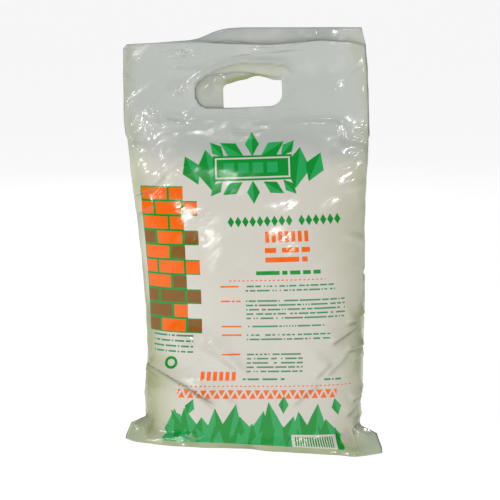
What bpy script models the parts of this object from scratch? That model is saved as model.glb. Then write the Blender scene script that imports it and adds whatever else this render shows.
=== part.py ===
"""Three kilograms of white cement in a printed carrier bag of thin plastic film.

The bag stands on its settled base with its front towards -Y. Units are metres and +Z is up.
The origin is the middle of the bounding box, on the floor.
"""

import math
from collections import namedtuple

import bmesh
import bpy
from mathutils import Vector

# The film: thicker here than the real 0.1 mm, so that it can be a solid with two faces.
FILM_WALL = 0.0005
FILM_GAP = 0.0004           # clear space between the film and the cement
COLUMNS = 56                # points round the bag, half of them on each panel

# Horizontal sections of the filled and the empty bag, from the floor up.
# left, right, front and rear are the outermost points; squareness 2 is an ellipse, more is boxier.
Section = namedtuple("Section", "height left right front rear squareness")
SECTIONS = [
    Section(0.000, -0.0900, 0.0885, -0.0270, 0.0270, 3.4),
    Section(0.003, -0.0955, 0.0940, -0.0318, 0.0315, 3.2),
    Section(0.009, -0.0992, 0.0980, -0.0348, 0.0342, 3.0),
    Section(0.020, -0.1010, 0.1002, -0.0365, 0.0352, 2.8),
    Section(0.040, -0.1012, 0.0992, -0.0368, 0.0350, 2.7),
    Section(0.065, -0.1004, 0.0990, -0.0360, 0.0340, 2.6),
    Section(0.095, -0.0976, 0.1004, -0.0345, 0.0325, 2.5),
    Section(0.130, -0.0985, 0.1010, -0.0325, 0.0305, 2.5),
    Section(0.165, -0.1012, 0.1014, -0.0300, 0.0280, 2.4),
    Section(0.195, -0.1050, 0.1018, -0.0270, 0.0255, 2.3),
    Section(0.220, -0.1082, 0.1022, -0.0228, 0.0230, 2.2),
    Section(0.242, -0.1114, 0.1026, -0.0172, 0.0200, 2.1),
    Section(0.260, -0.1138, 0.1034, -0.0108, 0.0165, 2.0),
    Section(0.276, -0.1154, 0.1040, -0.0050, 0.0130, 2.0),
    Section(0.292, -0.1170, 0.1046, -0.0012, 0.0095, 2.2),
    Section(0.308, -0.1184, 0.1050, 0.0012, 0.0072, 2.6),
    Section(0.330, -0.1191, 0.1050, 0.0020, 0.0068, 3.0),
    Section(0.356, -0.1191, 0.1040, 0.0020, 0.0068, 3.0),
    Section(0.377, -0.1191, 0.1022, 0.0018, 0.0070, 3.0),
]

# The empty film above the cement bends back in the middle, and the rear panel ends in a lip.
BOW = 0.009
BOW_FROM = 0.255
BOW_FULL = 0.312
BOW_MIDDLE_X = -0.008
BOW_HALF_WIDTH = 0.112
LIP_HEIGHT = 0.0165
LIP_LEFT_END = -0.052
LIP_LEFT_FULL = -0.016

# The hand hole: one cut in each panel, the rear one further right and lower.
HOLE_WIDTH = 0.0805
HOLE_HEIGHT = 0.038
HOLE_CORNER = 0.012
HOLE_FRONT_CENTRE = (-0.0135, 0.334)
HOLE_REAR_CENTRE = (0.0120, 0.326)
HOLE_MIDDLE_PLANE = 0.0134  # between the two panels where the hole is
HOLE_BEFORE_FILM = -0.05    # a plane clear of the front panel
HOLE_BEHIND_FILM = 0.06     # a plane clear of the rear panel
HOLE_CORNER_STEPS = 5

# The cement reaches up into the wedge between the panels.
CEMENT_TOP = 0.276

# The bottom weld: a skirt of two layers along the floor, and an upright ear at each end of it.
SKIRT_THICK = 0.0009
SKIRT_LIFT = 0.0002
SKIRT_INNER_Y = -0.024
SKIRT_LEFT_END = (-0.1085, -0.0310)
SKIRT_RIGHT_END = (0.1170, -0.0400)
SKIRT_LEFT_EDGE_Y = -0.0385
SKIRT_RIGHT_EDGE_Y = -0.0450
SKIRT_STEPS = 24
SKIRT_WAVE = 0.0010
SKIRT_WAVE_TURNS = 5.0
SKIRT_END_SHARE = 0.10      # share of its length over which each end turns up to the ear
EAR_ROOT_X = 0.0900
EAR_ROOT_Y = -0.0210
EAR_LEFT_TIP = (-0.1155, -0.0310)
EAR_RIGHT_TIP = (0.1170, -0.0400)
# Corners of each ear: the share of the way from its root to its tip, and the height.
EAR_LEFT_CORNERS = [(0.0, 0.0), (0.72, 0.0), (1.0, 0.012), (0.80, 0.025), (0.0, 0.033)]
EAR_RIGHT_CORNERS = [(0.0, 0.0), (1.0, 0.0), (0.84, 0.0155), (0.0, 0.026)]

# Limits of the modelling itself.
ARC_STEPS = 240             # points of the fine arc that each panel's even points are taken from
MITRE_LIMIT = 0.08          # keeps an inset corner from shooting away at a sharp fold
SHARP_ANGLE = math.radians(40.0)
SAME_PLACE = 0.0001

# Colours and roughness from the photograph.
FILM_COLOUR = (0.62, 0.61, 0.56)
FILM_ROUGHNESS = 0.28
CEMENT_COLOUR = (0.74, 0.73, 0.70)
CEMENT_ROUGHNESS = 0.95


def clear_scene():
    for item in list(bpy.data.objects):
        bpy.data.objects.remove(item)


def material(name, colour, roughness):
    made = bpy.data.materials.new(name)
    made.use_nodes = True
    shader = made.node_tree.nodes["Principled BSDF"]
    shader.inputs["Base Color"].default_value = (*colour, 1.0)
    shader.inputs["Roughness"].default_value = roughness
    shader.inputs["Metallic"].default_value = 0.0
    return made


def smooth_step(low, high, value):
    share = min(max((value - low) / (high - low), 0.0), 1.0)
    return share * share * (3.0 - 2.0 * share)


def bow_at(x, height):
    """How far the film's middle stands back, flat across the hand hole and none at the sides."""
    across = min(abs(x - BOW_MIDDLE_X) / BOW_HALF_WIDTH, 1.0)
    return BOW * smooth_step(BOW_FROM, BOW_FULL, height) * (1.0 - across ** 4)


def lip_at(x):
    return LIP_HEIGHT * smooth_step(LIP_LEFT_END, LIP_LEFT_FULL, x)


def even_loop(points, count):
    """The closed outline with count points, evenly spaced along it from its first point."""
    closed = points + [points[0]]
    lengths = [0.0]
    for start, end in zip(closed, closed[1:]):
        lengths.append(lengths[-1] + (end - start).length)
    loop = []
    edge = 0
    for step in range(count):
        target = lengths[-1] * step / count
        while lengths[edge + 1] < target:
            edge += 1
        share = (target - lengths[edge]) / (lengths[edge + 1] - lengths[edge])
        loop.append(closed[edge].lerp(closed[edge + 1], share))
    return loop


def half_outline(section, depth, turn_from):
    """Half of a section as a fine superellipse arc, from one side fold towards the other."""
    centre_x = (section.left + section.right) / 2.0
    half_width = (section.right - section.left) / 2.0
    centre_y = (section.front + section.rear) / 2.0
    power = 2.0 / section.squareness
    points = []
    for step in range(ARC_STEPS):
        angle = turn_from + math.pi * step / ARC_STEPS
        cosine = math.cos(angle)
        sine = math.sin(angle)
        x = centre_x + half_width * math.copysign(abs(cosine) ** power, cosine)
        y = centre_y + depth * math.copysign(abs(sine) ** power, sine)
        points.append(Vector((x, y)))
    return points


def outline(section):
    """Outer loop of the film at one height, from the left fold across the front and back."""
    depth = (section.rear - section.front) / 2.0
    loop = even_loop(half_outline(section, depth, math.pi) + half_outline(section, depth, 0.0), COLUMNS)
    return [Vector((p.x, p.y + bow_at(p.x, section.height))) for p in loop]


def inset(loop, distance):
    """The loop moved inwards by distance, its corners mitred."""
    moved = []
    for index, point in enumerate(loop):
        before = loop[index - 1]
        after = loop[(index + 1) % len(loop)]
        first = (point - before).normalized()
        second = (after - point).normalized()
        normal = Vector((-first.y - second.y, first.x + second.x)).normalized()
        reach = distance / max(normal.dot(Vector((-first.y, first.x))), MITRE_LIMIT)
        moved.append(point + normal * reach)
    return moved


def add_wall(body, rows, facing_out):
    """Triangles through rows of equal point counts; returns the rings of vertices, from the floor up.

    Every wall is split along the same diagonals, so that two walls keep the gap that their rows have.
    """
    rings = [[body.verts.new(point) for point in row] for row in rows]
    count = len(rings[0])
    for lower, upper in zip(rings, rings[1:]):
        for index in range(count):
            following = (index + 1) % count
            halves = (
                (lower[index], lower[following], upper[following]),
                (lower[index], upper[following], upper[index]),
            )
            for corners in halves:
                body.faces.new(corners if facing_out else reversed(corners))
    return rings


def fill_strip(body, ring, facing_down):
    """Faces between the front and the rear half of a ring, from the left fold to the right one."""
    half = len(ring) // 2
    for index in range(half):
        corners = [ring[index], ring[index + 1], ring[half * 2 - index - 1]]
        if index > 0:
            corners.append(ring[half * 2 - index])
        corners = list(dict.fromkeys(corners))
        body.faces.new(reversed(corners) if facing_down else corners)


def finished(body, name):
    mesh = bpy.data.meshes.new(name)
    body.to_mesh(mesh)
    body.free()
    return bpy.data.objects.new(name, mesh)


def loft(rows, name):
    """A closed solid through the rows."""
    body = bmesh.new()
    rings = add_wall(body, rows, True)
    fill_strip(body, rings[0], True)
    fill_strip(body, rings[-1], False)
    return finished(body, name)


def open_shell(outer, inner, name):
    """A bag with a wall between the outer and the inner rows, closed below and open above."""
    body = bmesh.new()
    outside = add_wall(body, outer, True)
    inside = add_wall(body, inner, False)
    fill_strip(body, outside[0], True)
    fill_strip(body, inside[0], False)
    count = len(outer[0])
    for index in range(count):
        following = (index + 1) % count
        rim = (outside[-1][index], outside[-1][following], inside[-1][following], inside[-1][index])
        body.faces.new(rim)
    return finished(body, name)


def rows_inside(distance, top):
    """Rows that lie distance inside the outer film, from just above the floor up to top."""
    rows = []
    for section in SECTIONS:
        if section.height <= top:
            height = max(section.height, distance)
            rows.append([(p.x, p.y, height) for p in inset(outline(section), distance)])
    return rows


def with_lip(rows):
    """The rows with the rear half of the top one raised into the lip at the mouth."""
    half = COLUMNS // 2
    top = [(x, y, z + (lip_at(x) if index > half else 0.0)) for index, (x, y, z) in enumerate(rows[-1])]
    return rows[:-1] + [top]


def plate(name, corners, thickness):
    """A flat plate from its outline; thickness is a vector from one face to the other."""
    body = bmesh.new()
    face = body.faces.new([body.verts.new(corner) for corner in corners])
    pushed = bmesh.ops.extrude_face_region(body, geom=[face])
    moved = [item for item in pushed["geom"] if isinstance(item, bmesh.types.BMVert)]
    bmesh.ops.translate(body, verts=moved, vec=thickness)
    bmesh.ops.recalc_face_normals(body, faces=body.faces)
    return finished(body, name)


def skirt_plate():
    """The two welded layers beyond the bottom weld, lying forward on the floor with a wavy edge."""
    left_x, left_y = SKIRT_LEFT_END
    right_x, right_y = SKIRT_RIGHT_END
    corners = [(left_x, left_y, SKIRT_LIFT)]
    for step in range(1, SKIRT_STEPS):
        share = step / SKIRT_STEPS
        x = left_x + (right_x - left_x) * share
        edge_y = SKIRT_LEFT_EDGE_Y + (SKIRT_RIGHT_EDGE_Y - SKIRT_LEFT_EDGE_Y) * share
        from_left = smooth_step(0.0, SKIRT_END_SHARE, share)
        from_right = smooth_step(0.0, SKIRT_END_SHARE, 1.0 - share)
        near_end = 1.0 - from_left * from_right
        end_y = left_y if share < 0.5 else right_y
        wave = SKIRT_WAVE * math.sin(2.0 * math.pi * SKIRT_WAVE_TURNS * share)
        corners.append((x, edge_y + (end_y - edge_y) * near_end + wave, SKIRT_LIFT))
    corners.append((right_x, right_y, SKIRT_LIFT))
    corners.append((EAR_ROOT_X, SKIRT_INNER_Y, SKIRT_LIFT))
    corners.append((-EAR_ROOT_X, SKIRT_INNER_Y, SKIRT_LIFT))
    return plate("bottom_skirt", corners, Vector((0.0, 0.0, SKIRT_THICK)))


def ear_plate(name, tip, side, outline_corners):
    """The flat doubled corner of the film: an upright fin from the body's side to the ear's tip."""
    root = Vector((side * EAR_ROOT_X, EAR_ROOT_Y))
    corners = [(*root.lerp(Vector(tip), share), height) for share, height in outline_corners]
    return plate(name, corners, Vector((0.0, SKIRT_THICK, 0.0)))


def hole_cutter(name, centre, near, far):
    """A round-cornered prism through one panel, from the depth near to the depth far."""
    body = bmesh.new()
    bmesh.ops.create_cube(body, size=1.0)
    bmesh.ops.scale(body, vec=(HOLE_WIDTH, far - near, HOLE_HEIGHT), verts=body.verts)
    through = [edge for edge in body.edges if abs(edge.verts[0].co.y - edge.verts[1].co.y) > SAME_PLACE]
    bmesh.ops.bevel(
        body, geom=through, offset=HOLE_CORNER, segments=HOLE_CORNER_STEPS, profile=0.5,
        affect="EDGES", material=-1
    )
    bmesh.ops.translate(body, vec=(centre[0], (near + far) / 2.0, centre[1]), verts=body.verts)
    return finished(body, name)


def boolean(target, tool, operation):
    modifier = target.modifiers.new(tool.name, "BOOLEAN")
    modifier.operation = operation
    modifier.solver = "EXACT"
    modifier.object = tool


def file_cutter(tool, collection):
    collection.objects.link(tool)
    tool.hide_render = True
    tool.display_type = "WIRE"


def centre_on_floor(measured, moved):
    """Moves all objects together, so that the middle of the measured one's box is at x = y = 0."""
    bpy.context.view_layer.update()
    box = measured.evaluated_get(bpy.context.evaluated_depsgraph_get()).bound_box
    for axis in (0, 1):
        values = [corner[axis] for corner in box]
        for item in moved:
            item.location[axis] = -(min(values) + max(values)) / 2.0


def main():
    clear_scene()
    parts = bpy.data.collections.new("cement_bag")
    cutters = bpy.data.collections.new("cutters")
    bpy.context.scene.collection.children.link(parts)
    bpy.context.scene.collection.children.link(cutters)

    mouth = SECTIONS[-1].height
    film = open_shell(with_lip(rows_inside(0.0, mouth)), with_lip(rows_inside(FILM_WALL, mouth)), "film_bag")
    parts.objects.link(film)
    film.data.materials.append(material("milky_film", FILM_COLOUR, FILM_ROUGHNESS))

    # The skirt and the ears end in the middle of the film's wall, so that nothing stands inside the bag.
    trim = loft(rows_inside(FILM_WALL / 2.0, mouth), "wall_middle")
    joined = [
        skirt_plate(),
        ear_plate("left_ear", EAR_LEFT_TIP, -1.0, EAR_LEFT_CORNERS),
        ear_plate("right_ear", EAR_RIGHT_TIP, 1.0, EAR_RIGHT_CORNERS),
    ]
    holes = [
        hole_cutter("hole_front", HOLE_FRONT_CENTRE, HOLE_BEFORE_FILM, HOLE_MIDDLE_PLANE),
        hole_cutter("hole_rear", HOLE_REAR_CENTRE, HOLE_MIDDLE_PLANE, HOLE_BEHIND_FILM),
    ]
    for tool in (trim, *joined, *holes):
        file_cutter(tool, cutters)
    for tool in joined:
        boolean(tool, trim, "DIFFERENCE")
        boolean(film, tool, "UNION")
    for tool in holes:
        boolean(film, tool, "DIFFERENCE")

    cement = loft(rows_inside(FILM_WALL + FILM_GAP, CEMENT_TOP), "cement_fill")
    parts.objects.link(cement)
    cement.data.materials.append(material("white_cement", CEMENT_COLOUR, CEMENT_ROUGHNESS))
    for shown in (film, cement):
        shown.data.shade_smooth()
        shown.data.set_sharp_from_angle(angle=SHARP_ANGLE)
    centre_on_floor(film, [film, cement, trim, *joined, *holes])


main()
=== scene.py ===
# %% [markdown]
# # A small carry bag of white cement
# The real bag is a tube of milky plastic film, 230 mm wide when it lies flat. It is welded shut across
# its lower end, filled with 3 kg of white cement, and a hand hole is punched through both panels above
# the filling. It stands on the lower part of its rear panel, which the cement has pressed flat.
#
# The film could be modelled as a box that is bent and dented. It is made the way the maker makes it
# instead: two flat panels of equal cells, laid round the filling, joined at the two side folds, and
# then left to settle as cloth. The flat cells stay known all the way, so the hole, the creases and the
# print are placed in the film's own flat measures, as they were when the bag was printed and punched.

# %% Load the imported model
import math

import bmesh
import bpy
import numpy as np
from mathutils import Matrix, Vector, noise
from mathutils.bvhtree import BVHTree


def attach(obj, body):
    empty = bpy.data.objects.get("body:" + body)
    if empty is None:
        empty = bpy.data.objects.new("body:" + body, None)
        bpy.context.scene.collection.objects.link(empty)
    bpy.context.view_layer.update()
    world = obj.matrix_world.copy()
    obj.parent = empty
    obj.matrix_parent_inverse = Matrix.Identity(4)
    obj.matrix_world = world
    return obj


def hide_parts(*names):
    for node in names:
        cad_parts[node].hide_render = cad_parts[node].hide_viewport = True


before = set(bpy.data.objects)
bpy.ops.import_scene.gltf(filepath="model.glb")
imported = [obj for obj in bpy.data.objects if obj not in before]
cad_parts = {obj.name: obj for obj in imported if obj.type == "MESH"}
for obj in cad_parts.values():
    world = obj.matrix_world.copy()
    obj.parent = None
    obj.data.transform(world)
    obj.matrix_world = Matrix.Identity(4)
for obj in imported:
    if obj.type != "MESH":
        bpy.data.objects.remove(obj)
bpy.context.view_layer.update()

# %% [markdown]
# ## The body's shape
# Seen from above, a filled bag is neither an ellipse nor a rectangle, and it changes on its way up: almost
# a rounded box on the floor, a flat lens where the cement ends, and two straight panels at the mouth.
# A superellipse covers all of them with one number for its squareness, so a short table of levels
# describes the whole body, and a smooth curve through the table gives every height between.

# %% Levels of the body
FILM_WIDTH = 0.230          # the tube when it lies flat
COLUMNS = 56                # cells across one panel
# height, left, right, front, rear, squareness
BODY = np.array([
    (0.000, -0.0890, 0.0895, -0.0225, 0.0315, 3.40),
    (0.009, -0.0985, 0.1005, -0.0300, 0.0388, 3.00),
    (0.022, -0.1008, 0.1035, -0.0318, 0.0398, 2.80),
    (0.045, -0.1008, 0.1035, -0.0320, 0.0396, 2.70),
    (0.095, -0.0975, 0.1048, -0.0298, 0.0372, 2.50),
    (0.150, -0.1000, 0.1048, -0.0262, 0.0338, 2.50),
    (0.195, -0.1052, 0.1055, -0.0223, 0.0302, 2.30),
    (0.230, -0.1100, 0.1062, -0.0160, 0.0265, 2.10),
    (0.260, -0.1142, 0.1074, -0.0061, 0.0212, 1.90),
    (0.285, -0.1166, 0.1082, 0.0015, 0.0160, 1.75),
    (0.308, -0.1179, 0.1076, 0.0059, 0.0119, 1.60),
    (0.340, -0.1186, 0.1060, 0.0067, 0.0115, 1.55),
    (0.377, -0.1184, 0.1036, 0.0065, 0.0117, 1.55),
    (0.420, -0.1184, 0.1004, 0.0065, 0.0117, 1.55),
])
BOW = 0.009                 # how far the empty panels stand back in their middle
BOW_FROM, BOW_TO = 0.255, 0.312
BOW_MIDDLE, BOW_HALF = -0.007, 0.112
THINNEST = 0.0006           # least half depth of the body
OUTLINE_STEPS = 400


def ease(low, high, value):
    """0 at low, 1 at high, and a smooth S between them."""
    share = np.clip((value - low) / (high - low), 0.0, 1.0)
    return share * share * (3.0 - 2.0 * share)


def level(height):
    """The body's row at a height, on a cubic curve that never overshoots the table."""
    heights = BODY[:, 0]
    i = int(np.clip(np.searchsorted(heights, height) - 1, 0, len(BODY) - 2))
    before, low, high = BODY[max(i - 1, 0)], BODY[i], BODY[i + 1]
    after = BODY[min(i + 2, len(BODY) - 1)]
    step = high - low
    t = (height - low[0]) / step[0]
    starts = (high - before) / (high[0] - before[0]) * step[0]
    ends = (after - low) / (after[0] - low[0]) * step[0]
    for slope in (starts, ends):
        slope[np.sign(slope) != np.sign(step)] = 0.0
        steep = np.abs(slope) > 3.0 * np.abs(step)
        slope[steep] = 3.0 * step[steep]
    rise = t * t * (3.0 - 2.0 * t)
    return low + step * rise + starts * t * (1.0 - t) ** 2 - ends * t * t * (1.0 - t)


def bow(x, height):
    """How far back the panels stand at x, because the empty film curves between its side folds."""
    across = np.minimum(np.abs(x - BOW_MIDDLE) / BOW_HALF, 1.0)
    return BOW * ease(BOW_FROM, BOW_TO, height) * (1.0 - across ** 4)


def panels_at(height, inset=0.0, cells=COLUMNS):
    """The front and the rear row of points at a height, evenly spaced from fold to fold."""
    _, left, right, front, rear, squareness = level(height)
    half_width = (right - left) / 2.0 - 2.0 * inset
    half_depth = max((rear - front) / 2.0 - inset, THINNEST)
    turn = np.linspace(math.pi, 0.0, OUTLINE_STEPS)
    x = (left + right) / 2.0 + half_width * np.sign(np.cos(turn)) * np.abs(np.cos(turn)) ** (2 / squareness)
    rows = []
    for side in (-1.0, 1.0):
        y = (front + rear) / 2.0 + side * half_depth * np.abs(np.sin(turn)) ** (2 / squareness)
        walked = np.concatenate([[0.0], np.cumsum(np.hypot(np.diff(x), np.diff(y)))])
        stops = np.linspace(0.0, walked[-1], cells + 1)
        across = np.interp(stops, walked, x)
        back = np.interp(stops, walked, y) + bow(across, height)
        rows.append(np.stack([across, back, np.full(cells + 1, height)], axis=1))
    return rows


print("girth at 150 mm", round(2000 * FILM_WIDTH), "mm of film round", len(BODY), "levels")

# %% [markdown]
# ## The closed end
# In the lowest 36 mm the two panels come together at the weld. The body is much narrower than the flat
# tube there, so the side folds run outwards and leave the two flat ears of a pillow bag. The front panel
# drops to the weld, the rear panel becomes the base. Beyond the weld a few millimetres of film hang down
# as a wavy skirt. The right end sits on the floor and the left end is lifted, as the filled corner rolls
# up. A lofted bottom would be quicker, but it would have no ears and no weld to see.

# %% Lines of the closed end
LOW = 0.036                 # height where the plain body starts
LOW_ROWS = 12               # rows of cells below it
WELD_ROW = 2                # rows of the skirt below the weld
FLOOR = 0.0010
# the cut end of the film, from the left ear's tip to the right one's
CUT_END = np.array([
    (-0.1176, -0.0262, 0.0132), (-0.1040, -0.0290, 0.0098), (-0.0640, -0.0330, 0.0074),
    (-0.0260, -0.0340, 0.0064), (0.0150, -0.0345, 0.0040), (0.0450, -0.0350, 0.0022),
    (0.0790, -0.0375, 0.0008), (0.0960, -0.0420, 0.0008), (0.1210, -0.0335, 0.0019),
])
# corners of the side folds, every four rows from the cut end up to the plain body
LEFT_FOLD = np.array([(-0.1176, -0.0262, 0.0132), (-0.1128, -0.0200, 0.0272), (-0.1010, -0.0105, 0.0310)])
RIGHT_FOLD = np.array([(0.1210, -0.0335, 0.0019), (0.1166, -0.0230, 0.0178), (0.1020, -0.0120, 0.0222)])
FOLD_ROWS = 4
SKIRT = (0.0034, 0.0046)    # height of the skirt at its left and right end
SKIRT_LEAN = 0.0012         # how far the weld lies behind the cut end
WELD_GAP = 0.0004           # between the two panels of the skirt
WAVE_DEEP, WAVE_TALL = 0.0022, 0.0014   # the cut end's waves, to the front and up
EAR_FROM, EAR_TO = 0.22, 0.11   # shares of the half width where an ear starts and is quite flat


def through(points, share):
    """Points at the shares of the way along a smooth curve through a few points."""
    points = np.asarray(points, float)
    walked = np.concatenate([[0.0], np.cumsum(np.linalg.norm(np.diff(points, axis=0), axis=1))])
    where = np.clip(share, 0.0, 1.0) * walked[-1]
    padded = np.vstack([2 * points[0] - points[1], points, 2 * points[-1] - points[-2]])
    i = np.clip(np.searchsorted(walked, where, side="right") - 1, 0, len(points) - 2)
    t = ((where - walked[i]) / (walked[i + 1] - walked[i]))[:, None]
    a, b, c, d = padded[i], padded[i + 1], padded[i + 2], padded[i + 3]
    curve = 2 * b + (c - a) * t + (2 * a - 5 * b + 4 * c - d) * t ** 2
    return 0.5 * (curve + (3 * b - a - 3 * c + d) * t ** 3)


ACROSS = np.linspace(0.0, 1.0, COLUMNS + 1)
END_LINE = through(CUT_END, ACROSS)
# three sines of unlike length, so that the waves don't repeat
WAVE = np.sin(ACROSS * 31.0) * 0.35 + np.sin(ACROSS * 53.0 + 1.0) * 0.25 + np.sin(ACROSS * 17.0) * 0.4
BODY_LOW = panels_at(LOW)
SKIRT_RISE = SKIRT[0] + (SKIRT[1] - SKIRT[0]) * ACROSS
WELD_LINE = END_LINE + np.stack([0.0 * ACROSS, 0.0 * ACROSS + SKIRT_LEAN, SKIRT_RISE], axis=1)
END_LINE[:, 1] -= WAVE_DEEP * WAVE * np.sin(math.pi * ACROSS)
END_LINE[:, 2] = np.maximum(END_LINE[:, 2] + WAVE_TALL * WAVE * np.sin(math.pi * ACROSS), FLOOR)
print("weld from", WELD_LINE[0].round(4), "to", WELD_LINE[-1].round(4))

# %% Rows of the closed end
CORNER_LIFT = 0.0085        # how far the filled left corner rolls up off the floor
BASE_HEIGHT = 0.002         # level of the body that the base follows
BASE_TURN = 0.62            # share of the rear panel's way at which the base turns up into the back
SWING = 0.40                # share of the climb in which the front panel swings out to the body
BASE_ROUND = 0.34           # share of the base that curves down from the weld


def lifted(points):
    """Raises the left part of the base in front."""
    x, y, z = points.T
    lift = CORNER_LIFT * ease(0.070, -0.060, x) * ease(0.016, -0.028, y) * ease(0.040, 0.004, z)
    return np.stack([x, y, z + lift], axis=1)


def along_fold(corners, row):
    """The place of a side fold at a row: straight between its corners."""
    stops = np.arange(len(corners)) * FOLD_ROWS
    return np.array([np.interp(row, stops, corners[:, axis]) for axis in range(3)])


def low_rows(row):
    """Front and rear points of one row of the closed end."""
    if row <= WELD_ROW:
        front = END_LINE + (WELD_LINE - END_LINE) * row / WELD_ROW
        return front, front + np.array((0.0, WELD_GAP * min(row, 1), 0.0))
    climb = (row - WELD_ROW) / (LOW_ROWS - WELD_ROW)
    height = WELD_LINE[:, 2] + (LOW - WELD_LINE[:, 2]) * climb
    front = lifted(np.array([panels_at(max(z, BASE_HEIGHT))[0][j] for j, z in enumerate(height)]))
    front = WELD_LINE + (front - WELD_LINE) * ease(0.0, SWING, climb)
    front[:, 2] = height
    if climb < BASE_TURN:
        out = climb / BASE_TURN
        rear = WELD_LINE + (panels_at(BASE_HEIGHT)[1] - WELD_LINE) * out
        rear[:, 2] = FLOOR
        rear = lifted(rear)
        rear[:, 2] += (WELD_LINE[:, 2] - rear[:, 2]) * ease(BASE_ROUND, 0.0, out)
    else:
        rear = panels_at(BASE_HEIGHT + (LOW - BASE_HEIGHT) * (climb - BASE_TURN) / (1.0 - BASE_TURN))[1]
    ends = [along_fold(np.vstack([fold, top]), row)
            for fold, top in ((LEFT_FOLD, BODY_LOW[0][0]), (RIGHT_FOLD, BODY_LOW[0][-1]))]
    near = ease(EAR_FROM, EAR_TO, np.minimum(ACROSS, 1.0 - ACROSS) * 2.0)[:, None]
    on_left = ease(0.6, 0.4, ACROSS)[:, None]
    panels = []
    for points, top in zip((front, rear), BODY_LOW):
        ear = WELD_LINE + (top - WELD_LINE) * climb
        ear = ear + on_left * (ends[0] - ear[0]) + (1.0 - on_left) * (ends[1] - ear[-1])
        panels.append(points * (1.0 - near) + ear * near)
    panels[1][0], panels[1][-1] = panels[0][0], panels[0][-1]
    return panels


# %% [markdown]
# ## The mouth
# The front panel ends in a nearly level edge with one small chamfered corner. The rear panel rises behind
# it as a lip on the right, where the film has slipped up, and the two part a little there. Straight edges
# would be simpler, but these two lines are the bag's outline at the top, so each is a short table.

# %% Edges of the mouth
TOP = 0.377                 # height of the front edge
# how far each edge departs from TOP: x, height
FRONT_EDGE = np.array([
    (-0.1184, -0.0046), (-0.1143, -0.0006), (-0.1080, -0.0004), (-0.0885, 0.0005), (-0.0570, 0.0014),
    (-0.0110, 0.0000), (0.0164, -0.0005), (0.0440, 0.0019), (0.0624, 0.0037), (0.0854, 0.0023),
    (0.1040, -0.0014),
])
REAR_EDGE = np.array([
    (-0.1184, -0.0046), (-0.1143, -0.0006), (-0.1080, -0.0004), (-0.0885, 0.0003), (-0.0738, 0.0014),
    (-0.0590, 0.0024), (-0.0517, 0.0036), (-0.0443, 0.0062), (-0.0370, 0.0098), (-0.0296, 0.0120),
    (-0.0220, 0.0136), (-0.0075, 0.0143), (0.0440, 0.0144), (0.1000, 0.0148),
])
MOUTH_FROM = 0.300          # the edges' shapes fade in above this height
PARTING_FROM = 0.352        # the panels part above this one
PARTING = 0.0030            # how far they part
UP_ROWS = 83                # rows of cells above the closed end
ROWS = LOW_ROWS + UP_ROWS


def mouth(front, rear):
    """Gives the upper rows their share of the two edges' shapes."""
    for points, table in ((front, FRONT_EDGE), (rear, REAR_EDGE)):
        x, z = points[..., 0], points[..., 2]
        edge = np.interp(x, table[:, 0], table[:, 1])
        points[..., 2] = z + edge * np.clip((z - MOUTH_FROM) / (TOP - MOUTH_FROM), 0.0, 1.0) ** 2
    x, z = front[..., 0], front[..., 2]
    parting = ease(PARTING_FROM, TOP, z) * ease(-0.02, 0.055, x) * ease(0.104, 0.075, x)
    front[..., 1] -= PARTING * parting
    rear[:, 0], rear[:, -1] = front[:, 0], front[:, -1]


def film_rows():
    """The places of all cell corners of the front and the rear panel."""
    rows = [low_rows(row) for row in range(LOW_ROWS + 1)]
    rows += [panels_at(LOW + (TOP - LOW) * step / UP_ROWS) for step in range(1, UP_ROWS + 1)]
    front, rear = np.array(rows).swapaxes(0, 1)
    mouth(front, rear)
    return front, rear


# %% [markdown]
# ## Two panels, one tube
# Each panel starts as a flat grid from the grid operator, and its corners are then moved to their places.
# Merging what lies in the same spot closes the side folds and the cut end. A UV map keeps each corner's
# column and row, so later steps can find any cell of the flat film again.

# %% Lay the panels round the body
REAR_OFFSET = 100.0         # the rear panel's columns start here in the grid map
SHARP_LOW, SHARP_HIGH = 8, 74   # the side folds are flat and sharp below and above these rows


def panel_grid(shape, points, offset, outward):
    """Adds one panel to the shape, with its column and row in the UV map."""
    made = bmesh.ops.create_grid(shape, x_segments=COLUMNS, y_segments=ROWS, size=0.5)["verts"]
    grid_map = shape.loops.layers.uv["grid"]
    cells = {}
    for vert in made:
        column = round((vert.co.x + 0.5) * COLUMNS)
        row = round((vert.co.y + 0.5) * ROWS)
        cells[vert] = (column, row)
        vert.co = Vector(points[row, column])
    faces = {face for vert in made for face in vert.link_faces}
    for face in faces:
        for loop in face.loops:
            column, row = cells[loop.vert]
            loop[grid_map].uv = (column + offset, row)
    if not outward:
        bmesh.ops.reverse_faces(shape, faces=list(faces))


def to_object(shape, name):
    """Writes a bmesh to a new object in the scene."""
    mesh = bpy.data.meshes.new(name)
    shape.to_mesh(mesh)
    shape.free()
    made = bpy.data.objects.new(name, mesh)
    bpy.context.scene.collection.objects.link(made)
    return made


def keep_sharp(shape):
    """Marks the flat folds and their corners, so that the later subdivision doesn't round them."""
    grid_map = shape.loops.layers.uv["grid"]
    sharp_edge = shape.edges.layers.float.new("crease_edge")
    sharp_vert = shape.verts.layers.float.new("crease_vert")
    spots = {}
    for vert in shape.verts:
        spots[vert] = {(round(c), round(r)) for c, r in (loop[grid_map].uv for loop in vert.link_loops)}
    for edge in shape.edges:
        ends = [spots[vert] for vert in edge.verts]
        rows = [min(row for _, row in end) for end in ends]
        at_side = all(any(column in (0, COLUMNS) for column, _ in end) for end in ends)
        on_fold = at_side and rows[0] != rows[1]
        lies_flat = max(rows) <= SHARP_LOW or min(rows) >= SHARP_HIGH
        if max(rows) == 0 or min(rows) == ROWS or (on_fold and lies_flat):
            edge[sharp_edge] = 1.0
    for vert, end in spots.items():
        for column, row in end:
            at_lip = row == ROWS and column in (1, REAR_OFFSET + COLUMNS - 1)
            if at_lip or (row in (0, FOLD_ROWS, 2 * FOLD_ROWS, ROWS) and column in (0, COLUMNS)):
                vert[sharp_vert] = 1.0


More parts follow.
